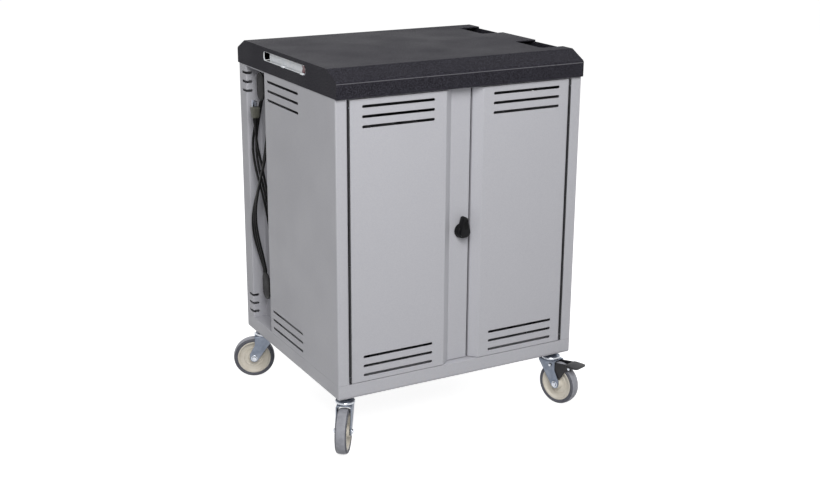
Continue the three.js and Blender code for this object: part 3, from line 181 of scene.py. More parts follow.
NOISE_LOW, NOISE_HIGH = 0.3, 0.7  # range in which most of a noise lies


def linear(value):
    share = value / 255
    return share / 12.92 if share <= 0.04045 else ((share + 0.055) / 1.055) ** 2.4


def colour(red, green, blue):
    return (linear(red), linear(green), linear(blue), 1)


class Finish:
    """A material whose nodes read Object coordinates."""

    def __init__(self, name, tint, roughness, metallic=0.0, specular=0.5):
        self.material = bpy.data.materials.new(name)
        self.material.use_nodes = True
        self.nodes = self.material.node_tree.nodes
        self.links = self.material.node_tree.links
        self.shader = self.nodes["Principled BSDF"]
        self.tint = tint
        self.shader.inputs["Base Color"].default_value = tint
        self.shader.inputs["Roughness"].default_value = roughness
        self.shader.inputs["Metallic"].default_value = metallic
        self.shader.inputs["Specular IOR Level"].default_value = specular
        self.place = self.nodes.new("ShaderNodeTexCoord").outputs["Object"]

    def noise(self, scale, detail=2.0):
        cloud = self.nodes.new("ShaderNodeTexNoise")
        cloud.inputs["Scale"].default_value = scale
        cloud.inputs["Detail"].default_value = detail
        self.links.new(self.place, cloud.inputs["Vector"])
        return cloud.outputs["Fac"]

    def mottle(self, other, scale, detail=3.0, low=0.35, high=0.65):
        """Drifts between the tint and another colour."""
        ramp = self.nodes.new("ShaderNodeValToRGB")
        ramp.color_ramp.elements[0].position = low
        ramp.color_ramp.elements[0].color = self.tint
        ramp.color_ramp.elements[1].position = high
        ramp.color_ramp.elements[1].color = other
        self.links.new(self.noise(scale, detail), ramp.inputs["Fac"])
        self.links.new(ramp.outputs["Color"], self.shader.inputs["Base Color"])
        return self

    def sheen(self, low, high, scale):
        """Roughness that drifts between two values."""
        spread = self.nodes.new("ShaderNodeMapRange")
        spread.inputs["From Min"].default_value = NOISE_LOW
        spread.inputs["From Max"].default_value = NOISE_HIGH
        spread.inputs["To Min"].default_value = low
        spread.inputs["To Max"].default_value = high
        self.links.new(self.noise(scale), spread.inputs["Value"])
        self.links.new(spread.outputs["Result"], self.shader.inputs["Roughness"])
        return self

    def grain(self, scale, strength, height):
        """Fine unevenness of the surface."""
        bump = self.nodes.new("ShaderNodeBump")
        bump.inputs["Strength"].default_value = strength
        bump.inputs["Distance"].default_value = height
        self.links.new(self.noise(scale), bump.inputs["Height"])
        self.links.new(bump.outputs["Normal"], self.shader.inputs["Normal"])
        return self


def paints():
    return {
        "silver": Finish("silver_powder_coat", colour(181, 181, 187), roughness=0.48, specular=0.3)
        .mottle(colour(186, 186, 191), scale=420, detail=2)
        .sheen(0.42, 0.55, scale=9)
        .grain(scale=1400, strength=0.25, height=0.12 * MM),
        "black": Finish("black_textured_coat", colour(30, 29, 34), roughness=0.58, specular=0.04)
        # the lighter flecks of the black coat are painted glints of its texture
        .mottle(colour(58, 57, 64), scale=360, detail=4, low=0.4, high=0.62)
        .sheen(0.48, 0.62, scale=6)
        .grain(scale=900, strength=0.5, height=0.25 * MM),
        # edge: lighter than the black coat, a painted highlight along the lid's fold
        "edge": Finish("black_edge_painted_highlight", colour(66, 65, 71), roughness=0.3, specular=0.6)
        .mottle(colour(80, 79, 86), scale=300, detail=4)
        .sheen(0.24, 0.4, scale=40)
        .grain(scale=900, strength=0.2, height=0.08 * MM),
        "inner": Finish("inner_paint", colour(166, 168, 172), roughness=0.5)
        .mottle(colour(173, 174, 178), scale=30)
        .sheen(0.42, 0.6, scale=14)
        .grain(scale=1100, strength=0.2, height=0.1 * MM),
        "strip": Finish("strip_enamel", colour(246, 248, 251), roughness=0.35)
        .mottle(colour(236, 240, 246), scale=60)
        .sheen(0.3, 0.42, scale=40)
        .grain(scale=900, strength=0.1, height=0.06 * MM),
    }


def metals():
    return {
        "zinc": Finish("zinc_plate", colour(150, 156, 168), roughness=0.3, metallic=1.0)
        .mottle(colour(178, 182, 190), scale=60, detail=4)
        .sheen(0.22, 0.42, scale=90)
        .grain(scale=500, strength=0.12, height=0.08 * MM),
        "fork": Finish("dark_zinc_plate", colour(112, 120, 134), roughness=0.38, metallic=0.9)
        .mottle(colour(134, 141, 153), scale=45, detail=4)
        .sheen(0.3, 0.5, scale=60)
        .grain(scale=450, strength=0.15, height=0.1 * MM),
        "black_steel": Finish("black_steel", colour(26, 26, 29), roughness=0.42, specular=0.3)
        .mottle(colour(36, 36, 39), scale=80)
        .sheen(0.36, 0.52, scale=40)
        .grain(scale=600, strength=0.2, height=0.1 * MM),
        "bolt": Finish("bright_bolt", colour(205, 208, 214), roughness=0.2, metallic=1.0)
        .mottle(colour(190, 194, 202), scale=120)
        .sheen(0.15, 0.3, scale=120)
        .grain(scale=600, strength=0.1, height=0.05 * MM),
    }


def mouldings():
    return {
        "plastic": Finish("black_plastic", colour(14, 14, 16), roughness=0.5, specular=0.12)
        .mottle(colour(20, 20, 22), scale=150)
        .sheen(0.38, 0.55, scale=60)
        .grain(scale=1500, strength=0.3, height=0.08 * MM),
        "cream": Finish("cream_nylon", colour(222, 216, 204), roughness=0.42, specular=0.3)
        .mottle(colour(212, 205, 191), scale=40, detail=4)
        .sheen(0.36, 0.5, scale=50)
        .grain(scale=700, strength=0.12, height=0.08 * MM),
        "tread": Finish("grey_tread", colour(160, 161, 168), roughness=0.62, specular=0.3)
        .mottle(colour(146, 147, 154), scale=70, detail=5)
        .sheen(0.55, 0.7, scale=60)
        .grain(scale=500, strength=0.3, height=0.12 * MM),
        # side: darker copy of the tread's rubber, painted shade on the tyre's sides
        "side": Finish("tyre_side_painted_shade", colour(100, 101, 108), roughness=0.6, specular=0.25)
        .mottle(colour(86, 87, 94), scale=70, detail=5)
        .sheen(0.52, 0.68, scale=60)
        .grain(scale=500, strength=0.3, height=0.12 * MM),
        "rubber": Finish("cord_jacket", colour(9, 9, 10), roughness=0.42, specular=0.14)
        .mottle(colour(14, 14, 15), scale=200)
        .sheen(0.34, 0.48, scale=90)
        .grain(scale=900, strength=0.2, height=0.06 * MM),
        "plug": Finish("olive_grey_plug", colour(88, 88, 80), roughness=0.5, specular=0.3)
        .mottle(colour(78, 78, 71), scale=140)
        .sheen(0.42, 0.58, scale=90)
        .grain(scale=900, strength=0.2, height=0.06 * MM),
        "red": Finish("dark_red_rocker", colour(96, 26, 38), roughness=0.3)
        .mottle(colour(84, 20, 32), scale=120)
        .sheen(0.25, 0.38, scale=80)
        .grain(scale=900, strength=0.1, height=0.05 * MM),
    }


FINISH = {name: finish.material for name, finish in (paints() | metals() | mouldings()).items()}


# Making and placing pieces

def keep(shape, name, body, finish, replaced=(), smooth=None):
    """Turns a bmesh into a piece that rides on a body."""
    mesh = bpy.data.meshes.new(name)
    bmesh.ops.recalc_face_normals(shape, faces=shape.faces)
    shape.to_mesh(mesh)
    shape.free()
    if smooth:
        mesh.shade_smooth()
        mesh.set_sharp_from_angle(angle=math.radians(smooth))
    mesh.materials.append(FINISH[finish])
    made = bpy.data.objects.new(name, mesh)
    bpy.context.scene.collection.objects.link(made)
    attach(made, body)
    if replaced:
        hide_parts(*replaced)
    return made


def round_edges(shape, width, angle=30, segments=2):
    """Rounds the edges where two faces meet at more than an angle."""
    limit = math.radians(angle)
    sharp = [e for e in shape.edges if len(e.link_faces) == 2 and e.calc_face_angle(0) > limit]
    bmesh.ops.bevel(shape, geom=sharp, offset=width, offset_type="OFFSET", affect="EDGES", segments=segments,
                    profile=0.5, material=-1, clamp_overlap=True)


def open_vents(shape):
    """Spreads the edges of the slots about the middle of each row."""
    rows = []
    for number in range(VENT_COUNT):
        rows.append(VENT_LOWEST + VENT_PITCH * number)
        rows.append(VENT_HIGHEST - VENT_PITCH * number)
    for corner in shape.verts:
        for row in rows:
            rise = corner.co.z - row
            if abs(rise) < VENT_HALF + TOUCH:
                corner.co.z = row + VENT_OPEN * rise
                break


def softened(node, width, finish, smooth=None, angle=50):
    """A copy of a CAD node with its facets merged and its edges rounded."""
    shape = bmesh.new()
    shape.from_mesh(frame["nodes"][node].data)
    bmesh.ops.remove_doubles(shape, verts=shape.verts, dist=SAME_PLACE)
    bmesh.ops.dissolve_limit(shape, angle_limit=math.radians(FLAT), verts=shape.verts, edges=shape.edges)
    if node in VENTED:
        open_vents(shape)
    if width:
        round_edges(shape, width, angle)
    body = frame["nodes"][node]["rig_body"]
    return keep(shape, node + "_shell", body, finish, [node], smooth)


def closed_loop(shape, places):
    """Edges that join places into a loop."""
    corners = [shape.verts.new(place) for place in places]
    return [shape.edges.new(pair) for pair in zip(corners, corners[1:] + corners[:1])]


def ring(outline):
    """Full spin about Y of a closed outline of points in radius and y."""
    shape = bmesh.new()
    closed_loop(shape, [(radius, y, 0) for radius, y in outline])
    bmesh.ops.spin(shape, geom=shape.verts[:] + shape.edges[:], cent=(0, 0, 0), axis=(0, 1, 0),
                   angle=2 * math.pi, steps=SPIN_STEPS, use_merge=True)
    bmesh.ops.remove_doubles(shape, verts=shape.verts, dist=SAME_PLACE)
    return shape


def rod(shape, radius, length):
    """Adds an upright round bar about the origin and gives its corners."""
    added = bmesh.ops.create_cone(shape, cap_ends=True, segments=ROD_SIDES, radius1=radius, radius2=radius,
                                  depth=length)
    return added["verts"]


def block(shape, size):
    """Adds a box about the origin and gives its corners."""
    corners = bmesh.ops.create_cube(shape, size=1)["verts"]
    bmesh.ops.scale(shape, vec=size, verts=corners)
    return corners


def moved(shape, matrix):
    bmesh.ops.transform(shape, matrix=matrix, verts=shape.verts)
    return shape


# Cord: straight down from its gland, three turns of a figure of eight on the cleats, up to the plug

def eased(share):
    return (1 - math.cos(math.pi * share)) / 2


def between(z):
    """0 at the flanges of the cleats, 1 halfway between them."""
    share = (UPPER_CLEAT - FLANGE_HALF - z) / (UPPER_CLEAT - LOWER_CLEAT - 2 * FLANGE_HALF)
    return math.sin(math.pi * min(max(share, 0), 1))


def outward(z):
    return LOOP_OUT * between(z) ** 2


def lean(y, z):
    """Further out of the bay the further to the rear."""
    slope = (y + math.hypot(y, LEAN_ROUND)) / 2
    return LEAN * slope * (1 - (1 - between(z)) ** 2)


def strand(layer, start, end, heights, stand, widths):
    """One run between the cleats, from start to end in y, with the widths of its two loops."""
    points = []
    for step in range(STRAND_STEPS + 1):
        share = step / STRAND_STEPS
        width = widths[0] + (widths[1] - widths[0]) * eased(share)
        swing = LOOP_BULGE * width * math.sin(math.pi * share) * math.sin(2 * math.pi * share)
        z = heights[0] + (heights[1] - heights[0]) * share
        y = start + (end - start) * eased(share) - swing
        points.append(Vector((layer - stand * outward(z) - lean(y, z), y, z)))
    return points


def turn(index, z, side, layer_from, layer_to):
    """Half a turn round a cleat, from the rear to the front; side is 1 over the upper cleat."""
    radius = INNER_TURN + index * PITCH
    points = []
    for step in range(1, ARC_STEPS):
        share = step / ARC_STEPS
        angle = math.pi * share
        x = layer_from + (layer_to - layer_from) * eased(share)
        points.append(Vector((x, radius * math.cos(angle), z + side * radius * math.sin(angle))))
    return points


def to_plug(run):
    """The last run, led away from the others and straight up into the plug."""
    leave = LOWER_CLEAT + LEAVES_AT * (UPPER_CLEAT - LOWER_CLEAT)
    straight = PLUG_LOW.z - 4 * CORD
    goal = Vector((PLUG_AXIS.x, PLUG_AXIS.y - BAY_MIDDLE, 0))
    points = []
    for place in run:
        if place.z > straight:
            break
        share = min(max((place.z - leave) / (straight - leave), 0), 1)
        points.append(place.lerp(goal + Vector((0, 0, place.z)), eased(share)))
    points.append(goal + Vector((0, 0, straight)))
    points.append(goal + Vector((0, 0, PLUG_LOW.z + CORD)))
    return points


def cord_route():
    """Points from the gland to the plug, made with y from the bay's middle."""
    lead_y = -INNER_TURN - TURNS * PITCH
    lead_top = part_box("cord_lead")[1].z
    route = [Vector((LAYER_OUT, lead_y, lead_top))]
    for index in range(TURNS):
        inside = TURNS - 1 - index
        start = -INNER_TURN - (TURNS - index) * PITCH
        rise = INNER_TURN + inside * PITCH
        widths = (1 - FAN_SIDE * index, 1 - FAN_SIDE * inside)
        route += strand(LAYER_OUT, start, INNER_TURN + index * PITCH, (UPPER_CLEAT, LOWER_CLEAT),
                        1 - FAN_OUT * index, widths)
        route += turn(index, LOWER_CLEAT, -1, LAYER_OUT, LAYER_IN)
        run = strand(LAYER_IN, -INNER_TURN - index * PITCH, rise, (LOWER_CLEAT, UPPER_CLEAT),
                     UP_OUT - FAN_OUT * index, widths[::-1])
        if inside:
            route += run + turn(inside, UPPER_CLEAT, 1, LAYER_IN, LAYER_OUT)
        else:
            route += to_plug(run)
    return [MIDDLE + place + Vector((0, BAY_MIDDLE, 0)) for place in route]


def cord():
    route = cord_route()
    curve = bpy.data.curves.new("mains_cord", "CURVE")
    curve.dimensions = "3D"
    curve.bevel_depth = CORD
    curve.bevel_resolution = 3
    curve.use_fill_caps = True
    line = curve.splines.new("POLY")
    line.points.add(len(route) - 1)
    for knot, place in zip(line.points, route):
        knot.co = (*place, 1)
    line.use_smooth = True
    curve.materials.append(FINISH["rubber"])
    made = bpy.data.objects.new("mains_cord", curve)
    bpy.context.scene.collection.objects.link(made)
    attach(made, "cabinet")
    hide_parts("cord_hank", "cord_lead")
    length = sum((b - a).length for a, b in zip(route, route[1:]))
    return made, route[0], length


def at_plug(height):
    """From the plug's own frame to a height over the lower end of its neck."""
    return Matrix.Translation(MIDDLE + PLUG_AXIS + Vector((0, 0, PLUG_LOW.z + height)))


def plug_body():
    """Moulded body, narrower towards its neck."""
    deep, wide, taper = 24 * MM, 26 * MM, 0.8
    shape = bmesh.new()
    block(shape, (deep, wide, PLUG_LONG))
    lower = [corner for corner in shape.verts if corner.co.z < 0]
    bmesh.ops.scale(shape, vec=(taper, taper, 1), verts=lower)
    round_edges(shape, 5 * MM, segments=4)
    moved(shape, at_plug(PLUG_NECK + PLUG_LONG / 2))
    return keep(shape, "plug_body", "cabinet", "plug", ["cord_plug"], PLUG_SMOOTH)


def plug_neck():
    """Ribbed sleeve round the cord, wider towards the body."""
    inner = CORD + TOUCH
    thin, thick, top = 5 * MM, 9 * MM, 8.5 * MM
    groove = MM
    rib_ends, groove_starts, groove_ends = 0.6, 0.62, 0.98
    outline = [(inner, 0)]
    for rib in range(NECK_RIBS):
        share = rib / NECK_RIBS
        radius = thin + (thick - thin) * share
        outline.append((radius, PLUG_NECK * share))
        outline.append((radius, PLUG_NECK * (share + rib_ends / NECK_RIBS)))
        outline.append((radius - groove, PLUG_NECK * (share + groove_starts / NECK_RIBS)))
        outline.append((radius - groove, PLUG_NECK * (share + groove_ends / NECK_RIBS)))
    outline += [(top, PLUG_NECK), (inner, PLUG_NECK)]
    sleeve = moved(ring(outline), at_plug(0) @ Matrix.Rotation(math.pi / 2, 4, "X"))
    return keep(sleeve, "plug_strain_relief", "cabinet", "rubber", (), PLUG_SMOOTH)


def plug_blades():
    """Two flat blades and a round earth pin."""
    wide, thick, long, apart = 6.4 * MM, 1.6 * MM, 17 * MM, 12.7 * MM
    pin_radius, pin_long, pin_off = 2.4 * MM, 20 * MM, 7.7 * MM
    shape = bmesh.new()
    for side in (-1, 1):
        blade = block(shape, (wide, thick, long))
        bmesh.ops.translate(shape, vec=(0, side * apart / 2, long / 2), verts=blade)
    pin = rod(shape, pin_radius, pin_long)
    bmesh.ops.translate(shape, vec=(-pin_off, 0, pin_long / 2), verts=pin)
    round_edges(shape, 0.4 * MM, 50)
    moved(shape, at_plug(PLUG_NECK + PLUG_LONG))
    return keep(shape, "plug_blades", "cabinet", "zinc", (), PLUG_SMOOTH)


mains, cord_exit, cord_length = cord()
plug_pieces = [plug_body(), plug_neck(), plug_blades()]


# Sheet metal and the power strip, with the width in millimetres of their rounded edges

for node, width, finish, slot in (
    ("base_pan", 0.8, "silver", "silver_paint"),
    ("left_side_panel", 0.4, "silver", "silver_paint"),
    ("right_side_panel", 0.4, "silver", "silver_paint"),
    ("back_panel", 0, "silver", "silver_paint"),
    ("left_door", 0.4, "silver", "silver_paint"),
    ("right_door", 0.4, "silver", "silver_paint"),
    ("lid", 0.8, "black", "black_paint"),
    ("power_strip", 1.2, "strip", "white_shell"),
    ("power_switch", 0.5, "red", "red_plastic"),
):
    softened(node, width * MM, finish)

for node, finish in (
    # top_rail: black_steel here is painted shade, darkening the vent slots in front of it; the rail itself
    # is silver
    ("top_deck", "silver"), ("top_rail", "black_steel"), ("lower_shelf", "inner"),
    ("upper_shelf", "inner"), ("cable_panel", "inner"), ("lower_divider_rack", "inner"),
    ("upper_divider_rack", "inner"), ("lower_outlet_strip", "strip"), ("upper_outlet_strip", "strip"),
    ("left_hinge_frame_leaf", "black_steel"), ("left_hinge_door_leaf", "black_steel"),
    ("right_hinge_frame_leaf", "black_steel"), ("right_hinge_door_leaf", "black_steel"),
    ("left_hinge_pin", "zinc"), ("right_hinge_pin", "zinc"), ("latch_cam", "zinc"),
    ("upper_lock_rod", "zinc"), ("lower_lock_rod", "zinc"), ("upper_rod_guide", "zinc"),
    ("lower_rod_guide", "zinc"),
):
    data = frame["nodes"][node].data
    data.materials.clear()
    data.materials.append(FINISH[finish])


def lid_fold():
    """Rounded fold between the lid's front and its slope, where the coat shines: its lighter colour is a
    painted highlight.
    """
    radius, sunk, near = 1.5 * MM, MM, 0.1 * MM
    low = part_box("lid")[0]
    corners = frame["nodes"]["lid"].data.vertices
    front = [corner.co for corner in corners if corner.co.y < low.y + near]
    left = min(place.x for place in front)
    right = max(place.x for place in front)
    top = max(place.z for place in front)
    fold = bmesh.new()
    rod(fold, radius, right - left)
    moved(fold, Matrix.Rotation(math.pi / 2, 4, "Y"))
    moved(fold, Matrix.Translation(((left + right) / 2, low.y + sunk, top - sunk / 2)))
    keep(fold, "lid_fold", "cabinet", "edge", (), SMOOTH)


lid_fold()


# Casters

def caster_matrix(name):
    """From a caster's own frame, swivel axis upright and trailing towards +X, to the cart's."""
    stem_low, stem_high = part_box(name + "_stem")
    hub_low, hub_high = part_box(name + "_hub")
    place = (stem_low + stem_high) / 2
    place.z = 0
    trail = (hub_low + hub_high) / 2 - place
    return Matrix.Translation(place) @ Matrix.Rotation(math.atan2(trail.y, trail.x), 4, "Z")


def tread_radius(y):
    """Radius of the tyre's rounded tread."""
    return WHEEL - TYRE_ROUND + TYRE_ROUND * max(1 - (y / TYRE_HALF) ** 2, 0) ** TYRE_FULL


def tyre_outline():
    """The tyre from its seat on the hub to just below its tread; darker than the band, as painted shade on
    its sides.
    """
    seat, seat_half = 51.2 * MM, 13.5 * MM
    wall, wall_half = 54.2 * MM, 15.2 * MM
    below = 0.3 * MM
    outline = [(seat, -seat_half), (wall, -wall_half)]
    for step in range(TREAD_STEPS + 1):
        y = -TYRE_HALF * math.cos(math.pi * step / TREAD_STEPS)
        outline.append((tread_radius(y) - below, y))
    return outline + [(wall, wall_half), (seat, seat_half)]


def band_outline():
    """Paler band that runs on the floor, of the same rubber as the tyre: its paler colour is painted light
    on the tread.
    """
    half = 12.5 * MM
    thick = MM
    places = [half * (2 * step / TREAD_STEPS - 1) for step in range(TREAD_STEPS + 1)]
    outer = [(tread_radius(y), y) for y in places]
    return outer + [(tread_radius(y) - thick, y) for y in reversed(places)]


def washer_outline():
    """Bright washer round the head of an axle, on the side towards -Y."""
    near, far = -FORK_SIDE - 0.2 * MM, -FORK_SIDE - 1.6 * MM
    inner, face, outer = 7.3 * MM, 9.2 * MM, 9.8 * MM
    return [(inner, near), (inner, far), (face, far), (outer, far + 0.5 * MM), (outer, near)]


def race_outline():
    """Bright cover round the ball race, seen from its underside up."""
    inner, outer, high = 25.4 * MM, 28 * MM, 5.5 * MM
    return [(inner, 0), (outer - MM, 0), (outer, MM), (outer, 3 * MM), (inner + MM, high), (inner, high)]


def rivet_outline():
    """Domed head whose face looks towards -Y."""
    return [(0, 0), (4.6 * MM, 0), (4.2 * MM, -1.1 * MM), (2.6 * MM, -1.9 * MM), (0, -2.2 * MM)]


def hub_outline():
    """Rim, dish with a raised bead, and boss; radius and half thickness in millimetres."""
    rim = [(51, 13.6), (50, 14.2), (47, 14.2), (46, 13.4)]
    dish = [(43.5, 8.6), (42.5, 8), (32, 7.2)]
    bead = [(31, 8.4), (29, 8.4), (28, 7.2)]
    boss = [(20, 7), (18.5, 7.6), (15, 16.8), (14, 17.4), (4.4, 17.4)]
    near = [(radius * MM, y * MM) for radius, y in rim + dish + bead + boss]
    far = [(radius, -y) for radius, y in reversed(near)]
    return [(near[0][0], 0)] + near + far


def rivets(name, home):
    """Heads on both sides of a brake, at its pivot and on its arm."""
    for number, (along, up, stand) in enumerate((PIVOT_RIVET, ARM_RIVET)):
        for label, side, turn_over in (("right", -1, 0), ("left", 1, math.pi)):
            seat = Matrix.Translation((along, side * stand, up))
            head = moved(ring(rivet_outline()), home @ seat @ Matrix.Rotation(turn_over, 4, "X"))
            keep(head, f"{name}_rivet_{number}_{label}", name + "_brake", "bolt", (), SMOOTH)


def caster(name):
    home = caster_matrix(name)
    axle = home @ Matrix.Translation((TRAIL, 0, WHEEL))
    wheel = name + "_wheel"
    swivel = name + "_swivel"
    tyre = moved(ring(tyre_outline()), axle)
    keep(tyre, name + "_tyre_body", wheel, "side", [name + "_tyre"], SMOOTH)
    tread = moved(ring(band_outline()), axle)
    keep(tread, name + "_tread", wheel, "tread", (), SMOOTH)
    for label, turn_over in (("right", 0), ("left", math.pi)):
        washer = moved(ring(washer_outline()), axle @ Matrix.Rotation(turn_over, 4, "X"))
        keep(washer, f"{name}_{label}_washer", swivel, "bolt", (), SMOOTH)
    centre = moved(ring(hub_outline()), axle)
    keep(centre, name + "_centre", wheel, "cream", [name + "_hub"], SMOOTH)
    upright = home @ Matrix.Translation((0, 0, CROWN)) @ Matrix.Rotation(math.pi / 2, 4, "X")
    cover = moved(ring(race_outline()), upright)
    keep(cover, name + "_race_cover", swivel, "bolt", (), SMOOTH)
    softened(name + "_fork", 0.3 * MM, "fork", SMOOTH)
    softened(name + "_axle", 0.6 * MM, "bolt", SMOOTH)
    softened(name + "_stem", 0.5 * MM, "zinc", SMOOTH)
    if name in BRAKED:
        softened(name + "_brake_pedal", 0.8 * MM, "black_steel", SMOOTH)
        rivets(name, home)


for name in CASTERS:
    caster(name)


# Black rods at the ends of the hinges, which fill the gaps beside the doors' corners: painted shade in the
# gaps

def hinge_gap_shade(side):
    pin_low, pin_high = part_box(side + "_hinge_pin")
    middle = (pin_low + pin_high) / 2
    gap_shade = bmesh.new()
    long, radius = 17 * MM, 2.5 * MM
    for z in (pin_low.z - TOUCH - long / 2, pin_high.z + TOUCH + long / 2):
        end = rod(gap_shade, radius, long)
        bmesh.ops.translate(gap_shade, vec=(middle.x, middle.y, z), verts=end)
    # black rods: painted shade that darkens the gaps beside the doors' corners
    keep(gap_shade, side + "_hinge_gap_shade", "cabinet", "black_steel", (), SMOOTH)


hinge_gap_shade("left")
hinge_gap_shade("right")


# Handle, window of the strip, cleats and gland

def dial_outline(radius, deep):
    """Flat round dial with a rounded rim on the side towards -Y."""
    soft, steps = 5 * MM, 5
    outline = [(0, 0), (radius - MM, 0), (radius, -MM), (radius, -deep + soft)]
    for step in range(1, steps + 1):
        angle = math.pi / 2 * step / steps
        outline.append((radius - soft + soft * math.cos(angle), -deep + soft - soft * math.sin(angle)))
    return outline + [(0, -deep)]


def wing_outline():
    """Tip and heel arcs in x and z, joined by their tangents."""
    tip, heel, rise = 7 * MM, 15 * MM, 36 * MM
    slant = math.asin((heel - tip) / rise)
    tip_arc = (tip, rise, slant, math.pi - slant)
    heel_arc = (heel, 0, math.pi - slant, 2 * math.pi + slant)
    points = []
    for radius, z, start, end in (tip_arc, heel_arc):
        for step in range(ARC_STEPS + 1):
            angle = start + (end - start) * step / ARC_STEPS
            points.append((radius * math.cos(angle), z + radius * math.sin(angle)))
    return points


def knob():
    """Dial with a wing to turn it by, which has ridges along its face."""
    radius, deep, wing_stands, wing_sunk = 19.5 * MM, 15 * MM, 9.5 * MM, 3 * MM
    plate_low, plate_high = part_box("handle_plate")
    middle = (plate_low + plate_high) / 2
    back = plate_low.y - TOUCH
    dial = moved(ring(dial_outline(radius, deep)), Matrix.Translation((middle.x, back, middle.z)))
    keep(dial, "knob_dial", "handle", "plastic", ["handle_knob"], SMOOTH)
    wing = bmesh.new()
    slab = wing.faces.new([wing.verts.new((x, 0, z)) for x, z in wing_outline()])
    grown = bmesh.ops.extrude_face_region(wing, geom=[slab])["geom"]
    root = [corner for corner in grown if isinstance(corner, bmesh.types.BMVert)]
    bmesh.ops.translate(wing, vec=(0, deep + wing_stands - wing_sunk, 0), verts=root)
    round_edges(wing, 2.2 * MM, 40, 3)
    ridge, ridge_pitch, ridge_middle = (1.2 * MM, 1.4 * MM, 24 * MM), 2.6 * MM, 22 * MM
    for number in range(-2, 3):
        bar = block(wing, ridge)
        bmesh.ops.translate(wing, vec=(number * ridge_pitch, 0, ridge_middle), verts=bar)
    moved(wing, Matrix.Translation((middle.x, back - deep - wing_stands, middle.z)))
    keep(wing, "knob_wing", "handle", "plastic", (), SMOOTH)


knob()


def rounded(y0, y1, z0, z1, radius):
    """Rounded rectangle in y and z."""
    points = []
    steps = ARC_STEPS // 4
    for y, z, quarter in ((y1, z0, -1), (y1, z1, 0), (y0, z1, 1), (y0, z0, 2)):
        inner_y = y + math.copysign(radius, y0 + y1 - 2 * y)
        inner_z = z + math.copysign(radius, z0 + z1 - 2 * z)
        for step in range(steps + 1):
            angle = math.pi / 2 * (quarter + step / steps)
            points.append((inner_y + radius * math.cos(angle), inner_z + radius * math.sin(angle)))
    return points


def window():
    """Bright edging of the strip's window, with two clips on its lower edge, made in millimetres; its white
    also paints the light caught on the cut-out's rim, a painted highlight.
    """
    long, high, corner = 285, 26, 8
    gap, thick = 0.05, 0.9
    face, deep = 0.4, 3.4
    clip_size, clip_out, clip_up = (5, 15, 4), 1.5, 1.2
    clip_shares = (0.09, 0.53)  # of the window's length, from the front
    edging = bmesh.new()
    loops = []
    for inset, x in ((gap, face), (thick, face), (thick, deep), (gap, deep)):
        outline = rounded(inset, long - inset, inset, high - inset, corner - inset)
        loops.append(closed_loop(edging, [(x, y, z) for y, z in outline]))
    for loop, after in zip(loops, loops[1:] + loops[:1]):
        bmesh.ops.bridge_loops(edging, edges=loop + after)
    for share in clip_shares:
        clip = block(edging, clip_size)
        bmesh.ops.translate(edging, vec=(clip_out, share * long, clip_up), verts=clip)
    lid_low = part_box("lid")[0]
    place = Vector((lid_low.x, DECK_LOW.y + WINDOW_BACK, lid_low.z + WINDOW_UP))
    moved(edging, Matrix.Translation(place) @ Matrix.Scale(MM, 4))
    keep(edging, "window_edging", "cabinet", "strip", (), SMOOTH)


window()
softened("handle_plate", 0.8 * MM, "plastic", SMOOTH)
softened("upper_cord_cleat", 1.2 * MM, "plastic", SMOOTH)
softened("lower_cord_cleat", 1.2 * MM, "plastic", SMOOTH)
softened("cord_gland", 0.8 * MM, "plastic", SMOOTH)


# Floor, light and view

def background_rays(tree):
    """One for a ray that shows the background: seen straight, mirrored or through glass."""
    rays = tree.nodes.new("ShaderNodeLightPath")
    mirrored = tree.nodes.new("ShaderNodeMath")
    mirrored.operation = "MAXIMUM"
    tree.links.new(rays.outputs["Is Camera Ray"], mirrored.inputs[0])
    tree.links.new(rays.outputs["Is Glossy Ray"], mirrored.inputs[1])
    through = tree.nodes.new("ShaderNodeMath")
    through.operation = "MAXIMUM"
    tree.links.new(mirrored.outputs["Value"], through.inputs[0])
    tree.links.new(rays.outputs["Is Transmission Ray"], through.inputs[1])
    return through.outputs["Value"]


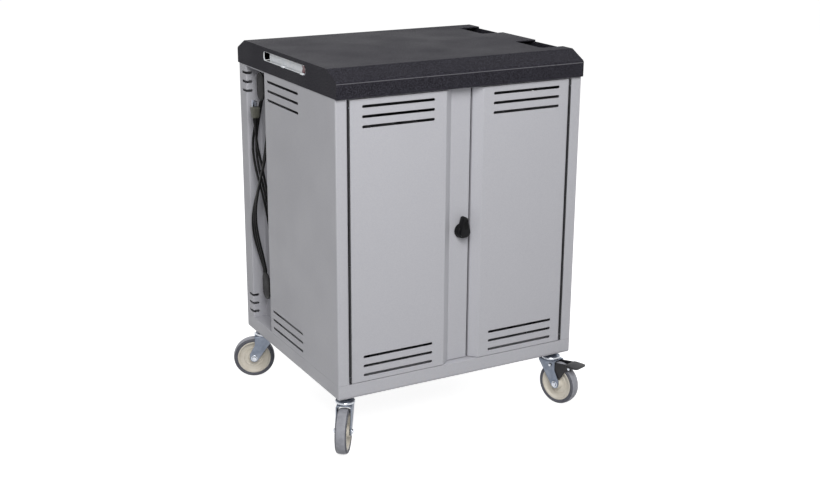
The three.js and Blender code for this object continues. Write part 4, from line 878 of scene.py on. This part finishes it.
def floor():
    shape = bmesh.new()
    bmesh.ops.create_grid(shape, x_segments=1, y_segments=1, size=FLOOR_HALF)
    mesh = bpy.data.meshes.new("floor")
    shape.to_mesh(mesh)
    shape.free()
    ground = bpy.data.materials.new("pale_floor")
    ground.use_nodes = True
    nodes = ground.node_tree.nodes
    links = ground.node_tree.links
    nodes.remove(nodes["Principled BSDF"])
    matt = nodes.new("ShaderNodeBsdfDiffuse")
    matt.inputs["Color"].default_value = FLOOR_SHADE
    glow = nodes.new("ShaderNodeEmission")
    level = nodes.new("ShaderNodeMath")
    level.operation = "MULTIPLY"
    level.inputs[1].default_value = FLOOR_GLOW
    links.new(background_rays(ground.node_tree), level.inputs[0])
    links.new(level.outputs["Value"], glow.inputs["Strength"])
    both = nodes.new("ShaderNodeAddShader")
    links.new(matt.outputs["BSDF"], both.inputs[0])
    links.new(glow.outputs["Emission"], both.inputs[1])
    links.new(both.outputs["Shader"], nodes["Material Output"].inputs["Surface"])
    mesh.materials.append(ground)
    made = bpy.data.objects.new("floor", mesh)
    bpy.context.scene.collection.objects.link(made)


def sky():
    world = bpy.data.worlds.new("studio")
    bpy.context.scene.world = world
    world.use_nodes = True
    nodes = world.node_tree.nodes
    links = world.node_tree.links
    lit = nodes["Background"]
    lit.inputs["Color"].default_value = WHITE
    lit.inputs["Strength"].default_value = SKY_LIGHT
    seen = nodes.new("ShaderNodeBackground")
    seen.inputs["Color"].default_value = WHITE
    seen.inputs["Strength"].default_value = 1
    mixed = nodes.new("ShaderNodeMixShader")
    links.new(background_rays(world.node_tree), mixed.inputs["Fac"])
    links.new(lit.outputs["Background"], mixed.inputs[1])
    links.new(seen.outputs["Background"], mixed.inputs[2])
    links.new(mixed.outputs["Shader"], nodes["World Output"].inputs["Surface"])


def lamp(name, place, power):
    data = bpy.data.lights.new(name, "AREA")
    data.shape = "DISK"
    data.size = LAMP_SIZE
    data.energy = power
    made = bpy.data.objects.new(name, data)
    bpy.context.scene.collection.objects.link(made)
    made.location = place
    made.rotation_mode = "QUATERNION"
    made.rotation_quaternion = (LAMP_AIM - Vector(place)).to_track_quat("-Z", "Y")


floor()
sky()
lamp("front_lamp", (-1.2, -2.6, 2.75), 95)
lamp("right_lamp", (3.4, -0.3, 2.4), 36)
lamp("back_lamp", (-0.3, 3.4, 2.4), 36)
bpy.context.scene.view_settings.view_transform = "Standard"
